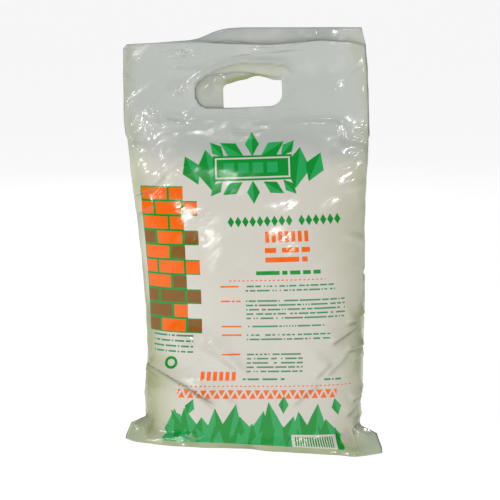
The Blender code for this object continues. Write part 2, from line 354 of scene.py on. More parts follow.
def film_tube():
    """The film laid round the body, before it settles."""
    shape = bmesh.new()
    shape.loops.layers.uv.new("grid")
    front, rear = film_rows()
    panel_grid(shape, front, 0.0, outward=True)
    panel_grid(shape, rear, REAR_OFFSET, outward=False)
    bmesh.ops.remove_doubles(shape, verts=shape.verts, dist=1e-6)
    keep_sharp(shape)
    open_edges = sum(len(edge.link_faces) == 1 for edge in shape.edges)
    print("film cells", len(shape.faces), "open edges", open_edges, "of", 2 * COLUMNS, "at the mouth")
    return to_object(shape, "film_bag_skin")


film = film_tube()

# %% [markdown]
# ## Let the film settle
# Plastic film keeps its area: where the body narrows it has too much, and it buckles into folds. They
# could all be drawn by hand, but a cloth simulation finds the ones that belong together. The filling, a
# thin blade between the empty panels and the floor are the colliders. The closed end and the empty top
# are held, and the film is let grow by a few percent, most of all near the side folds.

# %% Run the cloth and apply it
FRAMES = 26
CORE_INSET = 0.0016         # how far the filling's collider lies inside the film
CORE_CELLS = 40
CORE_FOOT = [0.0026, 0.006, 0.012, 0.020]   # its lowest levels
CORE_FROM, CORE_TO, CORE_STEP = 0.030, 0.374, 0.006     # and the ones above them
BLADE_FROM, BLADE_TO = 0.280, 0.300     # heights between which the filling becomes the blade
BLADE_IN = 0.09             # how much narrower than the film the blade is
MIDDLE = -0.0065            # x of the empty film's middle
HELD_FROM, HELD_TO = 0.245, 0.305       # the film is held more and more between these heights
SIDE_FROM, SIDE_TO = 0.215, 0.285       # and between these ones near the side folds
PIN_TOP, PIN_FOOT = 0.3715, 0.0016      # pinned above and below
EAR_HIGH, EAR_OUT = 0.0325, 0.1025      # an ear lies below the first and outside the second
WELD_HIGH, WELD_FRONT = 0.020, -0.0305  # the weld lies below the first and in front of the second
SPARE_TOP, SPARE_MIDDLE, SPARE_SIDE = 0.12, 0.30, 0.70  # shares of the growth
CLOTH = {
    "quality": 9, "mass": 0.004, "tension_stiffness": 60, "compression_stiffness": 60, "shear_stiffness": 30,
    "bending_model": "ANGULAR", "bending_stiffness": 2, "tension_damping": 5, "compression_damping": 5,
    "shear_damping": 5, "bending_damping": 0.5, "air_damping": 2.0, "vertex_group_mass": "pin",
    "vertex_group_shrink": "spare", "shrink_min": 0.0, "shrink_max": -0.080, "use_pressure": True,
    "uniform_pressure_force": 0.8,
}


def collider(name, shape, skin, friction):
    """An object that the cloth slides on."""
    made = to_object(shape, name)
    made.modifiers.new("Collision", "COLLISION")
    made.collision.thickness_outer = skin
    made.collision.thickness_inner = 0.004
    made.collision.cloth_friction = friction
    made.collision.use_culling = False
    return made


def core_shape():
    """The filling, with a thin blade above it that keeps the panels apart."""
    shape = bmesh.new()
    rings = []
    for height in CORE_FOOT + list(np.arange(CORE_FROM, CORE_TO, CORE_STEP)):
        front, rear = panels_at(height, CORE_INSET, CORE_CELLS)
        front, rear = lifted(front), lifted(rear)
        for points in (front, rear):
            points[:, 0] -= (points[:, 0] - MIDDLE) * BLADE_IN * ease(BLADE_FROM, BLADE_TO, height)
        ring = [shape.verts.new(Vector(point)) for point in np.vstack([front, rear[-2:0:-1]])]
        rings.append([shape.edges.new((ring[i - 1], ring[i])) for i in range(len(ring))])
    for low, high in zip(rings, rings[1:]):
        bmesh.ops.bridge_loops(shape, edges=low + high)
    for ring in (rings[0], rings[-1]):
        bmesh.ops.edgeloop_fill(shape, edges=ring)
    bmesh.ops.recalc_face_normals(shape, faces=shape.faces)
    return shape


def weigh(thing):
    """Vertex groups: what is pinned, and where the film has length to spare."""
    pin, spare = thing.vertex_groups.new(name="pin"), thing.vertex_groups.new(name="spare")
    for vert in thing.data.vertices:
        x, y, z = vert.co
        at_ear = z < EAR_HIGH and abs(x) > EAR_OUT
        at_weld = z < WELD_HIGH and y < WELD_FRONT
        if z > PIN_TOP or z < PIN_FOOT or at_ear or at_weld:
            pin.add([vert.index], 1.0, "REPLACE")
        elif z > SIDE_FROM:
            at_side = ease(SIDE_FROM, SIDE_TO, z) * ease(0.060, 0.090, abs(x - MIDDLE))
            pin.add([vert.index], float(max(ease(HELD_FROM, HELD_TO, z), at_side)), "REPLACE")
        side = float(ease(0.060, 0.100, abs(x)))
        spare.add([vert.index], SPARE_TOP if z > 0.29 else SPARE_MIDDLE + SPARE_SIDE * side, "REPLACE")


def settle(thing):
    """Runs the cloth on the film and leaves its result as the mesh."""
    weigh(thing)
    core = collider("core", core_shape(), 0.0005, 3.0)
    ground_shape = bmesh.new()
    bmesh.ops.create_grid(ground_shape, x_segments=2, y_segments=2, size=0.4)
    ground = collider("ground", ground_shape, 0.0002, 5.0)
    cloth = thing.modifiers.new("Cloth", "CLOTH")
    for name, value in CLOTH.items():
        setattr(cloth.settings, name, value)
    cloth.settings.effector_weights.gravity = 0.2
    cloth.collision_settings.distance_min = 0.0008
    cloth.collision_settings.collision_quality = 3
    cloth.point_cache.frame_start, cloth.point_cache.frame_end = 1, FRAMES + 1
    for step in range(1, FRAMES + 1):
        bpy.context.scene.frame_set(step)
    graph = bpy.context.evaluated_depsgraph_get()
    settled = bpy.data.meshes.new_from_object(thing.evaluated_get(graph))
    moved = max((a.co - b.co).length for a, b in zip(settled.vertices, thing.data.vertices))
    thing.modifiers.clear()
    thing.vertex_groups.clear()
    thing.data = settled
    bpy.context.scene.frame_set(1)
    for helper in (core, ground):
        bpy.data.objects.remove(helper)
    print("the film settled, and moved up to", round(moved * 1000, 1), "mm")


settle(film)

# %% [markdown]
# ## Finer cells, and the film as two tables of points
# One level of subdivision turns the 4 mm cells into 2 mm ones with smooth bends. It is applied, since the
# next steps move single corners of the finer cells. The grid map tells which vertex is which corner, so
# each panel can be handled as a table of points: rows up, columns across.

# %% Subdivide once and read both panels
def apply_modifiers(thing):
    """Makes the result of an object's modifiers its mesh."""
    graph = bpy.context.evaluated_depsgraph_get()
    thing.data = bpy.data.meshes.new_from_object(thing.evaluated_get(graph))
    thing.modifiers.clear()


smooth = film.modifiers.new("Subdivision", "SUBSURF")
smooth.levels = smooth.render_levels = 1
smooth.uv_smooth = "NONE"
apply_modifiers(film)
FINE_COLUMNS, FINE_ROWS = 2 * COLUMNS, 2 * ROWS


def side_of(column):
    """0 for the front panel, 1 for the rear one, from a column of the grid map."""
    return int(column > (REAR_OFFSET + COLUMNS) / 2)


def read_panels(mesh):
    """The vertex number and the place of each corner of the front and the rear panel."""
    numbers = np.zeros((2, FINE_ROWS + 1, FINE_COLUMNS + 1), int)
    grid_map = mesh.uv_layers["grid"].data
    for loop in mesh.loops:
        column, row = grid_map[loop.index].uv
        side = side_of(column)
        numbers[side, round(2 * row), round(2 * (column - side * REAR_OFFSET))] = loop.vertex_index
    places = np.array([vert.co for vert in mesh.vertices])
    return numbers, places[numbers]


numbers, panels = read_panels(film.data)
front, rear = panels
print("fine cells", 2 * FINE_COLUMNS * FINE_ROWS)

# %% [markdown]
# ## Flat measures
# A crease or a hole is easiest to place on the film as it left the roll: millimetres from the left side
# fold, and millimetres up from the cut end. Columns are evenly spaced, and a row's height is the length
# of film below it in the middle of the front panel.

# %% Where each cell corner lies on the flat film
MM = 0.001


def flat_heights():
    """How far up the flat film each fine row lies, in millimetres."""
    middle = film_rows()[0][:, COLUMNS // 3:2 * COLUMNS // 3]
    steps = np.linalg.norm(np.diff(middle, axis=0), axis=2).mean(axis=1)
    coarse = np.concatenate([[0.0], np.cumsum(steps)]) / MM
    return np.interp(np.arange(FINE_ROWS + 1) / 2.0, np.arange(ROWS + 1), coarse)


HEIGHTS = flat_heights()
FLAT_U, FLAT_V = np.meshgrid(np.linspace(0.0, FILM_WIDTH / MM, FINE_COLUMNS + 1), HEIGHTS)
FROM_FOLD = np.minimum(FLAT_U, FILM_WIDTH / MM - FLAT_U)
print("front panel", round(FLAT_V.max()), "mm long")

# %% [markdown]
# ## Creases
# The simulation gives the film its general unrest. The folds that the eye goes to first are then pressed
# in one by one, as a sculptor would: each is a line on the flat film, with a height, a width and a kind. A
# ridge is a fine standing fold. A tuck has one side pushed out over a sharp line and the other left low,
# which is what a slipped, overlapping fold looks like. Everything moves along the film's own normal.

# %% Tools for pressing creases
def beside(line, u=FLAT_U, v=FLAT_V):
    """For every corner: the signed distance to a line on the flat film, and the share of its length."""
    nearest, side, share = np.full(u.shape, np.inf), np.zeros(u.shape), np.zeros(u.shape)
    line = np.asarray(line, float)
    lengths = np.linalg.norm(np.diff(line, axis=0), axis=1)
    walked = np.concatenate([[0.0], np.cumsum(lengths)])
    for i, (start, step) in enumerate(zip(line[:-1], np.diff(line, axis=0))):
        along = np.clip(((u - start[0]) * step[0] + (v - start[1]) * step[1]) / lengths[i] ** 2, 0.0, 1.0)
        off_u, off_v = u - start[0] - along * step[0], v - start[1] - along * step[1]
        distance = np.hypot(off_u, off_v)
        closer = distance < nearest
        nearest = np.where(closer, distance, nearest)
        side = np.where(closer, np.sign(step[0] * off_v - step[1] * off_u), side)
        share = np.where(closer, (walked[i] + along * lengths[i]) / walked[-1], share)
    return nearest * side, share


def tapered(share, ends=0.25):
    """1 along a line, easing to 0 at its two ends."""
    return ease(0.0, ends, share) * ease(1.0, 1.0 - ends, share)


def ridge(line, height, width, ends=0.30):
    """A fine fold that stands up along a line; a negative height is a groove."""
    distance, share = beside(line)
    return height * np.exp(-(distance / width) ** 2) * tapered(share, ends)


def tuck(line, height, reach, lip=1.9, ends=0.20):
    """The side on the left of the line's direction bulges and drops sharply at the line."""
    distance, share = beside(line)
    bulge = ease(-lip * 0.3, lip, distance) * np.exp(-np.maximum(distance - lip, 0.0) / reach)
    return height * bulge * tapered(share, ends)


def swell(u, v, wide, tall, height, turn=0.0):
    """A soft raised patch, turned by some degrees."""
    c, s = math.cos(math.radians(turn)), math.sin(math.radians(turn))
    x, y = FLAT_U - u, FLAT_V - v
    return height * np.exp(-(((x * c + y * s) / wide) ** 2 + ((y * c - x * s) / tall) ** 2))


# %% Creases of the front panel, all in millimetres on the flat film
FRONT_TUCKS = [
    # line, height, reach: the deep fold at the lower left, then the folds under it
    ([(84, 41), (66, 51), (51, 61), (38, 67), (25, 73), (2, 80)], -5.0, 15),
    ([(19, 45), (12, 60), (3, 77)], -2.8, 9),
    # below the right shoulder
    ([(200, 116), (212, 119), (229, 125)], 3.1, 8),
    ([(184, 97), (202, 108), (216, 115)], 2.5, 9),
    ([(198, 90), (212, 92), (229, 96)], 2.8, 7),
    ([(208, 80), (226, 91)], 2.3, 7),
    ([(180, 68), (196, 82), (208, 97)], 1.5, 10),
    ([(204, 42), (218, 49), (228, 57)], 2.7, 8),
    ([(199, 28), (212, 38), (224, 49)], 2.4, 8),
    ([(207, 12), (218, 21), (226, 31)], 1.1, 7),
    ([(170, 66), (186, 82)], 1.2, 9),
    ([(150, 40), (164, 54), (176, 62)], 1.0, 9),
    # at the left shoulder
    ([(4, 232), (22, 240), (40, 256)], 1.3, 10),
    ([(3, 214), (16, 219), (30, 229)], 1.2, 8),
]
FRONT_RIDGES = [
    # line, height, width
    ([(60, 100), (78, 88), (104, 68)], 2.2, 3.0),
    ([(72, 103), (90, 90), (112, 66)], 1.3, 3.0),
    ([(86, 50), (94, 44), (104, 38)], 1.3, 2.4),
    ([(57, 283), (42, 266), (24, 247)], 2.0, 2.6),
    ([(53, 266), (40, 256), (24, 247)], 1.3, 2.0),
    ([(72, 268), (50, 262), (30, 240)], 1.0, 3.5),
    ([(44, 196), (62, 210), (81, 223)], 1.4, 2.6),
    ([(196, 262), (212, 270), (228, 284)], 1.3, 3.0),
    ([(192, 238), (210, 243), (229, 250)], 1.0, 3.5),
    ([(200, 200), (216, 196), (229, 188)], 0.9, 3.0),
    ([(34, 308), (52, 306), (68, 321)], 1.4, 1.8),
    ([(36, 313), (58, 313)], 0.7, 1.6),
    ([(92, 297), (112, 293), (134, 300)], 0.9, 2.0),
    ([(118, 303), (136, 305)], 0.7, 1.6),
    ([(96, 300), (104, 292)], 0.7, 1.6),
    ([(216, 300), (228, 292)], 0.9, 2.0),
    ([(5, 290), (13, 279)], 0.8, 2.0),
    ([(48, 372), (60, 366)], 0.8, 1.5),
    ([(54, 373), (58, 364)], 0.6, 1.3),
    ([(48, 331), (56, 334)], 0.8, 1.5),
    ([(97, 364), (115, 369), (131, 368), (158, 368), (176, 371)], -0.9, 1.6),
    ([(120, 375), (140, 375), (160, 378), (178, 377)], 1.2, 1.8),
    ([(112, 371), (134, 372), (152, 376)], 0.9, 1.6),
    ([(38, 356), (58, 354), (80, 356)], 0.7, 2.2),
]
FRONT_SWELLS = [
    # u, v, wide, tall, height, turn
    (58, 92, 34, 20, 2.4, -30), (34, 50, 24, 16, 2.6, -20), (150, 210, 70, 50, 0.8, 0),
    (75, 150, 30, 40, 0.7, 30), (190, 70, 25, 30, 0.8, 20), (110, 25, 60, 12, 0.8, 0),
    (40, 225, 22, 30, 0.8, -20), (205, 250, 20, 30, 0.7, 0), (125, 120, 10, 70, 0.7, -24),
    (60, 330, 30, 14, 0.8, 0), (185, 335, 22, 20, 0.9, 20), (208, 20, 8, 12, 1.2, 0),
]
REAR_TUCKS = [
    # line, height, reach
    ([(196, 58), (214, 68), (229, 84)], 2.0, 8), ([(4, 98), (20, 86), (42, 70)], 2.2, 9),
    ([(2, 130), (18, 121), (36, 108)], 1.6, 8), ([(186, 108), (208, 121), (229, 128)], 1.8, 9),
    ([(8, 52), (30, 46), (54, 48)], 1.5, 9), ([(192, 226), (212, 238), (228, 254)], 1.3, 9),
    ([(3, 206), (20, 216), (44, 236)], 1.4, 9), ([(178, 40), (204, 46), (226, 40)], 1.4, 8),
]


def pressed_tucks(tucks):
    """The sum of a list of tucks; a negative height turns the line's direction round."""
    return sum(tuck(line[::-1], -height, reach) if height < 0 else tuck(line, height, reach)
               for line, height, reach in tucks)


def front_press():
    """How far each corner of the front panel moves outwards, in millimetres."""
    press = pressed_tucks(FRONT_TUCKS)
    for line, height, width in FRONT_RIDGES:
        press += ridge(line, height, width)
    for values in FRONT_SWELLS:
        press += swell(*values)
    return press


# %% [markdown]
# ## Small unrest
# No stretch of film this thin is smooth. Gradient noise in space, the same on both sides of a fold, gives
# slow waves, slanting ones, and a finer crumple. It is stronger near the side folds, where the film has
# length to spare. A Displace modifier could do it too, but it would come after the holes are cut, and
# the corners have to be in place when the two panels are kept apart there.

# %% Move both panels
SLOW, SLANT, FINE = 0.85, 0.50, 0.16    # heights of the three waves, in millimetres
PINCHES = ((162, 1.6, 2.2), (122, 0.8, 3.0), (93, 0.8, 3.0))    # height up the fold, depth, reach


def unrest(places):
    """Small waves at each corner, in millimetres."""
    out = np.zeros(FLAT_U.shape)
    for row, column in np.ndindex(out.shape):
        x, y, z = places[row, column]
        along, aside = x * 0.74 + z * 0.67, z * 0.74 - x * 0.67
        slow = noise.noise(Vector((x * 28, y * 28, z * 17)))
        slant = noise.noise(Vector((along * 20, y * 60, aside * 88)))
        fine = noise.noise(Vector((along * 60, y * 150, aside * 190 + 7)))
        out[row, column] = SLOW * slow + SLANT * slant + FINE * fine
    edge = 0.45 + 0.75 * ease(45.0, 8.0, FROM_FOLD)
    quiet = ease(1.0, 14.0, FLAT_V)
    return out * edge * quiet


def pinch(v, depth, tall):
    """A pinch in the right side fold, on both panels."""
    right = ease(14.0, 0.0, FILM_WIDTH / MM - FLAT_U)
    return -depth * right * np.exp(-((FLAT_V - v) / tall) ** 2)


normals = np.array([vert.normal for vert in film.data.vertices])[numbers]
pinches = sum(pinch(*values) for values in PINCHES)
off_fold = ease(0.0, 5.0, FROM_FOLD + 2.0)
front_moves = front_press() * off_fold + unrest(front) + pinches
rear_moves = pressed_tucks(REAR_TUCKS) * off_fold + unrest(rear) + pinches
panels = panels + normals * (np.stack([front_moves, rear_moves]) * MM)[..., None]
panels[1][:, [0, -1]] = panels[0][:, [0, -1]]
front, rear = panels
print("creases move the front panel", front_moves.min().round(1), "to", front_moves.max().round(1), "mm")

# %% [markdown]
# ## The hand hole
# One punch cut both panels, but the film has slipped since: the rear hole now sits 25 mm further right
# and a little lower. Above the front hole the film is folded in, so a soft arched edge runs over it. Each
# hole is a distance field on the flat film. Cell corners next to its outline are slid onto it within the
# surface, and what lies inside is deleted, which keeps the rim smooth and the cells nearly square.

# %% Shape of the holes
# left, right, bottom, top
FRONT_BOX, REAR_BOX = (67.5, 149.2, 320.5, 352.0), (93.5, 176.0, 309.0, 345.5)
ROUND_CORNER, TIGHT_CORNER, REAR_CORNER = 12.0, 2.5, 3.0
HOLE_TILT = 2.0             # how much the front hole's lower edge rises to the right
# the upper edges, as the folds leave them: across, rise
FRONT_ARCH = np.array([
    (66, -8.5), (78, -3.0), (89, -0.8), (111, 1.4), (131, -0.6), (141, -3.0), (150, -4.2),
])
REAR_ARCH = np.array([
    (94, -8.0), (97, -6.3), (101, -5.6), (108, -3.8), (116, -2.7), (119, -1.5),
    (123, -0.5), (127, -0.1), (133, -1.0), (141, -3.2), (175, -4.0),
])


def rounded_box(u, v, left, right, bottom, top, corner):
    """Signed distance to a rectangle with rounded corners: negative inside."""
    off_u = np.abs(u - (left + right) / 2.0) - (right - left) / 2.0 + corner
    off_v = np.abs(v - (bottom + top) / 2.0) - (top - bottom) / 2.0 + corner
    outer = np.hypot(np.maximum(off_u, 0.0), np.maximum(off_v, 0.0))
    return outer + np.minimum(np.maximum(off_u, off_v), 0.0) - corner


def front_hole(u, v):
    """The front hole, whose folded upper edge is an arch."""
    arch = np.interp(u, *FRONT_ARCH.T)
    corner = np.where((u > 110.0) & (v > 337.0), TIGHT_CORNER, ROUND_CORNER)
    tilt = HOLE_TILT * ease(92.0, 150.0, u) * ease(338.0, 326.0, v)
    return rounded_box(u, v - arch * ease(328.0, 348.0, v) - tilt, *FRONT_BOX, corner)


def rear_hole(u, v):
    """The rear hole, with its corner at the upper left."""
    arch = np.interp(u, *REAR_ARCH.T)
    return rounded_box(u, v - arch * ease(324.0, 340.0, v), *REAR_BOX, REAR_CORNER)


# %% Folds round the holes, in millimetres
TURNED_IN, CREST, RIM_OUT, CLING, APART = 2.4, 2.1, 3.4, 2.6, 0.8
# the front film turns in below this line
FOLD_ARCH = [
    (64, 330), (66, 344), (76, 351), (88, 357), (104, 362), (122, 364), (140, 363), (154, 360), (164, 350),
]
arch_side, arch_share = beside(FOLD_ARCH)
below = np.maximum(-arch_side, 0.0)
inward = TURNED_IN * ease(0.0, 10.0, below) * ease(0.16, 0.40, arch_share) * ease(1.0, 0.78, arch_share)
inward *= ease(336.0, 347.0, FLAT_V)
crest = CREST * np.exp(-(arch_side / 3.0) ** 2) * tapered(arch_share, 0.18)
front[..., 1] += (inward - crest) * MM
# the rear film turns out above its hole
rear_rim = rear_hole(FLAT_U, FLAT_V)
above_rear = ease(334.0, 342.0, FLAT_V)
rear[..., 1] -= RIM_OUT * MM * np.exp(-(rear_rim / 5.0) ** 2) * above_rear * ease(170.0, 150.0, FLAT_U)
# near the front hole's left part the two panels cling together, but they never touch
cling = ease(300.0, 318.0, FLAT_V) * ease(368.0, 356.0, FLAT_V)
cling *= ease(50.0, 64.0, FLAT_U) * ease(128.0, 100.0, FLAT_U)
rear[..., 1] += (swell(84, 343, 8, 6, 1.0, 30) - CLING * cling) * MM
apart = (FLAT_V > 296.0) & (FLAT_V < 372.0) & (FROM_FOLD > 12.0)
print("panels at the hole", ((rear - front)[..., 1][apart].min() / MM).round(2), "mm apart at least")
rear[..., 1] = np.where(apart, np.maximum(rear[..., 1], front[..., 1] + APART * MM), rear[..., 1])


# %% Slide corners onto an outline
SMALL = 0.05                # step for measuring slopes, in millimetres
ALL, BUT_LAST, BUT_FIRST = slice(None), slice(None, -1), slice(1, None)


def slide_to(points, outline):
    """Slides the corners nearest to the outline onto it; returns -1 inside, 0 on it and 1 outside."""
    distance = outline(FLAT_U, FLAT_V)
    on = np.zeros(distance.shape, bool)
    for low, high in (((BUT_LAST, ALL), (BUT_FIRST, ALL)), ((ALL, BUT_LAST), (ALL, BUT_FIRST))):
        crossed = distance[low] * distance[high] < 0
        low_nearer = np.abs(distance[low]) <= np.abs(distance[high])
        on[low] |= crossed & low_nearer
        on[high] |= crossed & ~low_nearer
    slope_u = (outline(FLAT_U + SMALL, FLAT_V) - outline(FLAT_U - SMALL, FLAT_V)) / (2 * SMALL)
    slope_v = (outline(FLAT_U, FLAT_V + SMALL) - outline(FLAT_U, FLAT_V - SMALL)) / (2 * SMALL)
    steep = slope_u ** 2 + slope_v ** 2 + 1e-9
    per_u = np.gradient(points, axis=1) / np.gradient(FLAT_U, axis=1)[..., None]
    per_v = np.gradient(points, axis=0) / np.gradient(FLAT_V, axis=0)[..., None]
    slide = -(per_u * slope_u[..., None] + per_v * slope_v[..., None]) * (distance / steep)[..., None]
    points[on] += slide[on]
    return np.where(on, 0, np.sign(distance).astype(int))


def cut_hole(shape, corners, place):
    """Deletes the cells of one panel that lie inside; cells that straddle the rim are split first."""
    where = {corners[index]: place[index] for index in np.ndindex(place.shape) if place[index] <= 0}
    touched = {face for vert in where for face in vert.link_faces}
    for face in list(touched):
        marks = [where.get(vert, 1) for vert in face.verts]
        if -1 in marks and 1 in marks:
            rim = [vert for vert, mark in zip(face.verts, marks) if mark == 0]
            if len(rim) == 2:
                bmesh.ops.connect_vert_pair(shape, verts=rim)
    inside = {face for vert, mark in where.items() if mark < 0 for face in vert.link_faces}
    bmesh.ops.delete(shape, geom=list(inside), context="FACES")
    return len(inside)


film_marks = [slide_to(front, front_hole), slide_to(rear, rear_hole)]

# %% Write the panels back, cut the holes and lay out the flat map
REAR_SHIFT = 0.250          # where the rear panel starts in the flat map, in metres
FLAT_MIDDLE = (FILM_WIDTH + REAR_SHIFT) / 2.0 / MM      # between the panels there, in millimetres


def rebuild(thing):
    """Puts the moved corners, the holes and the flat UV map into the film's mesh."""
    shape = bmesh.new()
    shape.from_mesh(thing.data)
    shape.verts.ensure_lookup_table()
    corners = [np.array(shape.verts, object)[numbers[side]] for side in (0, 1)]
    flat = shape.loops.layers.uv["grid"]
    for face in shape.faces:
        for loop in face.loops:
            column, row = loop[flat].uv
            side = side_of(column)
            across = (column - side * REAR_OFFSET) / COLUMNS * FILM_WIDTH
            loop[flat].uv = (across + side * REAR_SHIFT, HEIGHTS[round(2 * row)] * MM)
    for side, points in ((1, rear), (0, front)):
        for index in np.ndindex(points.shape[:2]):
            corners[side][index].co = Vector(points[index])
    cut = [cut_hole(shape, corners[side], film_marks[side]) for side in (0, 1)]
    # the last cells of the two ears share three corners front and rear, so they are split through the tip
    for side in (0, 1):
        for tip, beside_tip in ((0, 1), (-1, -2)):
            bmesh.ops.connect_vert_pair(shape, verts=[corners[side][0, tip], corners[side][1, beside_tip]])
    shape.to_mesh(thing.data)
    shape.free()
    thing.data.uv_layers["grid"].name = "flat"
    print("cells cut for the front and the rear hole", cut)


rebuild(film)

# %% [markdown]
# ## Tone of the film
# Milky film looks warm and white where cement lies against it, and grey where two empty layers hang
# together.
# It is olive where it is seen edge on: partly its own tint, and partly painted shade and a painted greenish
# reflection at the side folds, the right side and the foot. Deep creases and a thin line along a cut edge
# get painted shade. Film that lets light through would give most of this by itself, but slowly and with much
# noise. So the four shares are worked out once for each corner and kept as a colour attribute that the
# material reads.

# %% Shares of tone
SHADOW_WIDTH = 2.0          # half width of a crease's shadow, in millimetres
HEAP = 268.0                # height up the film where the cement ends


def filled_share():
    """Where cement lies against the film: below the heap, but not in the skirt and the ears."""
    surface = HEAP + 5.0 * np.sin(FLAT_U / 21.0) + 3.0 * np.sin(FLAT_U / 8.0)
    filled = ease(18.0, -14.0, FLAT_V - surface) * ease(4.0, 9.0, FLAT_V)
    return filled * (1.0 - ease(20.5, 17.5, FROM_FOLD) * ease(26.0, 18.0, FLAT_V))


def olive_and_shade_share(left_ear, right_ear):
    """The olive tint of film seen edge on and of the low corners, partly painted shade and reflected tint.
    """
    edge_wave = 6.0 * np.sin(FLAT_V / 23.0) + 3.0 * np.sin(FLAT_V / 7.0)
    reach = 24.0 + 26.0 * ease(170.0, 60.0, FLAT_V)
    # along the side folds: the film's own tint seen edge on, with painted shade and a painted greenish tint
    fold_tint_and_shade = ease(1.0, 0.0, (FROM_FOLD + edge_wave * ease(0.0, 10.0, FROM_FOLD)) / reach)
    fold_tint_and_shade *= 0.35 + 0.65 * ease(320.0, 140.0, FLAT_V)
    # the right side is darker: painted shade
    right_side_shade = 0.45 * ease(66.0, 8.0, FILM_WIDTH / MM - FLAT_U) * ease(270.0, 210.0, FLAT_V)
    left_tint = 0.85 * ease(56.0, 16.0, FLAT_U) * ease(96.0, 66.0, FLAT_V)
    # the foot is darker olive: painted shade and a painted greenish reflection
    foot_shade = ease(22.0, 6.0, FLAT_V) * (0.7 - 0.4 * ease(205.0, 218.0, FLAT_U))
    olive = np.max([fold_tint_and_shade, foot_shade, right_side_shade, left_tint], axis=0)
    return np.clip(olive, 0.0, 1.0) * (1.0 - 0.7 * right_ear - 0.45 * left_ear)


def crease_share(left_ear):
    """The painted shadow in the front panel's tucks, on the left ear and along the fold above the hole."""
    crease = 0.35 * left_ear
    for line, height, _ in FRONT_TUCKS:
        distance, share = beside(line)
        deep = min(abs(height) / 3.0, 1.0)
        crease = np.maximum(crease, deep * np.exp(-(distance / SHADOW_WIDTH) ** 2) * tapered(share, 0.15))
    return np.maximum(crease, 0.55 * np.exp(-((arch_side + 1.6) / 1.1) ** 2) * tapered(arch_share, 0.10))


def rim_shadow_share():
    """A painted shadow line along the cut edge: round the left part of the front hole and along the front
    edge of the mouth.
    """
    rim = (film_marks[0] == 0) * ease(125.0, 95.0, FLAT_U) * ease(358.0, 340.0, FLAT_V)
    rim[-1] = ease(60.0, 90.0, FLAT_U[-1]) * ease(228.0, 205.0, FLAT_U[-1])
    rim[-2] = 0.35 * rim[-1]
    return rim


def tones():
    """The four shares at each corner of the front and of the rear panel."""
    low = ease(30.0, 20.0, FLAT_V)
    left_ear, right_ear = ease(22.0, 12.0, FLAT_U) * low, ease(208.0, 218.0, FLAT_U) * low
    filled, olive = filled_share(), olive_and_shade_share(left_ear, right_ear)
    turned_in = ease(1.0, 3.0, below) * ease(334.0, 345.0, FLAT_V) * tapered(arch_share, 0.15)
    seen = ease(4.0, -4.0, front_hole(FLAT_U, FLAT_V))
    on_lip = np.exp(-(np.maximum(rear_rim, 0.0) / 4.0) ** 2) * above_rear * ease(150.0, 125.0, FLAT_U)
    # the band turned in under the arch: a little whiter, and olive that is partly a double layer, partly
    # painted shade
    front_tone = [np.maximum(filled, 0.22 * turned_in), np.maximum(olive, 0.30 * turned_in),
                  crease_share(left_ear), rim_shadow_share()]
    # the rear film seen through the front hole: a little olive, and painted shade from the crease share
    rear_tone = [filled, np.max([olive, 0.14 * seen, 1.3 * on_lip], axis=0), 0.22 * seen, 0.0 * seen]
    return [np.stack(front_tone, 2), np.stack(rear_tone, 2)]


# %% Paint the tone and the crumple on the film
# crumpled patches of the front: across, up, half width, half height, strength
CRUMPLES = [
    (50, 368, 13, 9, 1.8), (53, 333, 9, 7, 1.8), (44, 311, 18, 9, 1.6), (112, 297, 28, 7, 0.9),
    (120, 303, 14, 4, 0.9), (222, 297, 9, 9, 0.8), (9, 284, 6, 9, 0.8), (38, 264, 22, 20, 0.5),
    (136, 374, 34, 4, 0.4), (152, 325, 12, 10, 0.7), (212, 100, 18, 34, 0.7), (72, 60, 30, 24, 0.6),
    (82, 96, 26, 22, 0.6), (16, 62, 16, 18, 0.8), (218, 34, 14, 20, 0.7), (62, 208, 24, 16, 0.5),
    (120, 228, 50, 16, 0.15), (205, 262, 20, 22, 0.2), (110, 12, 110, 8, 0.6), (115, 255, 110, 26, 0.06),
    (120, 150, 90, 60, 0.10),
]
LEAST_CRUMPLE, FOLD_CRUMPLE = 0.03, 0.14        # everywhere, and at the side folds
REAR_CRUMPLE, REAR_LEAST = 0.7, 0.05    # the rear is the front's mirror image, but calmer


def crumple():
    """How crumpled the front film is at each corner."""
    out = np.full(FLAT_U.shape, LEAST_CRUMPLE)
    for u, v, wide, tall, strength in CRUMPLES:
        out = np.maximum(out, strength * np.exp(-(((FLAT_U - u) / wide) ** 2 + ((FLAT_V - v) / tall) ** 2)))
    return np.maximum(out, FOLD_CRUMPLE * ease(14.0, 2.0, FROM_FOLD) * ease(24.0, 40.0, FLAT_V))


def paint_tone(thing):
    """Stores the tones in the film's mesh, finding each vertex by its place on the flat film."""
    thing.data.color_attributes.new("tone", "FLOAT_COLOR", "POINT")
    thing.data.attributes.new("crumpled", "FLOAT", "POINT")
    tone, crumpled = thing.data.attributes["tone"], thing.data.attributes["crumpled"]
    flat = thing.data.uv_layers["flat"].data
    shares = tones()
    on_front = crumple()
    folded = [on_front, np.maximum(on_front[:, ::-1] * REAR_CRUMPLE, REAR_LEAST)]
    for loop in thing.data.loops:
        across, up = flat[loop.index].uv
        side = int(across / MM > FLAT_MIDDLE)
        column = round((across - side * REAR_SHIFT) / FILM_WIDTH * FINE_COLUMNS)
        row = int(np.abs(HEIGHTS - up / MM).argmin())
        tone.data[loop.vertex_index].color = shares[side][row, column]
        crumpled.data[loop.vertex_index].value = folded[side][row, column]


paint_tone(film)
for face in film.data.polygons:
    face.use_smooth = True

# %% [markdown]
# ## Thickness
# The real film is about a tenth of a millimetre thick; here it has a little more, so that its rim can be
# seen. Solidify gives it an inner face and a rim at the mouth and round the holes. It stays a modifier, so
# the sheet itself can still be changed.

# %% Give the film its wall
FILM_THICKNESS = 0.00018
wall = film.modifiers.new("Film wall", "SOLIDIFY")
wall.thickness = FILM_THICKNESS
wall.offset = -1.0
wall.use_even_offset = False
print("film vertices", len(film.data.vertices), "cells", len(film.data.polygons))

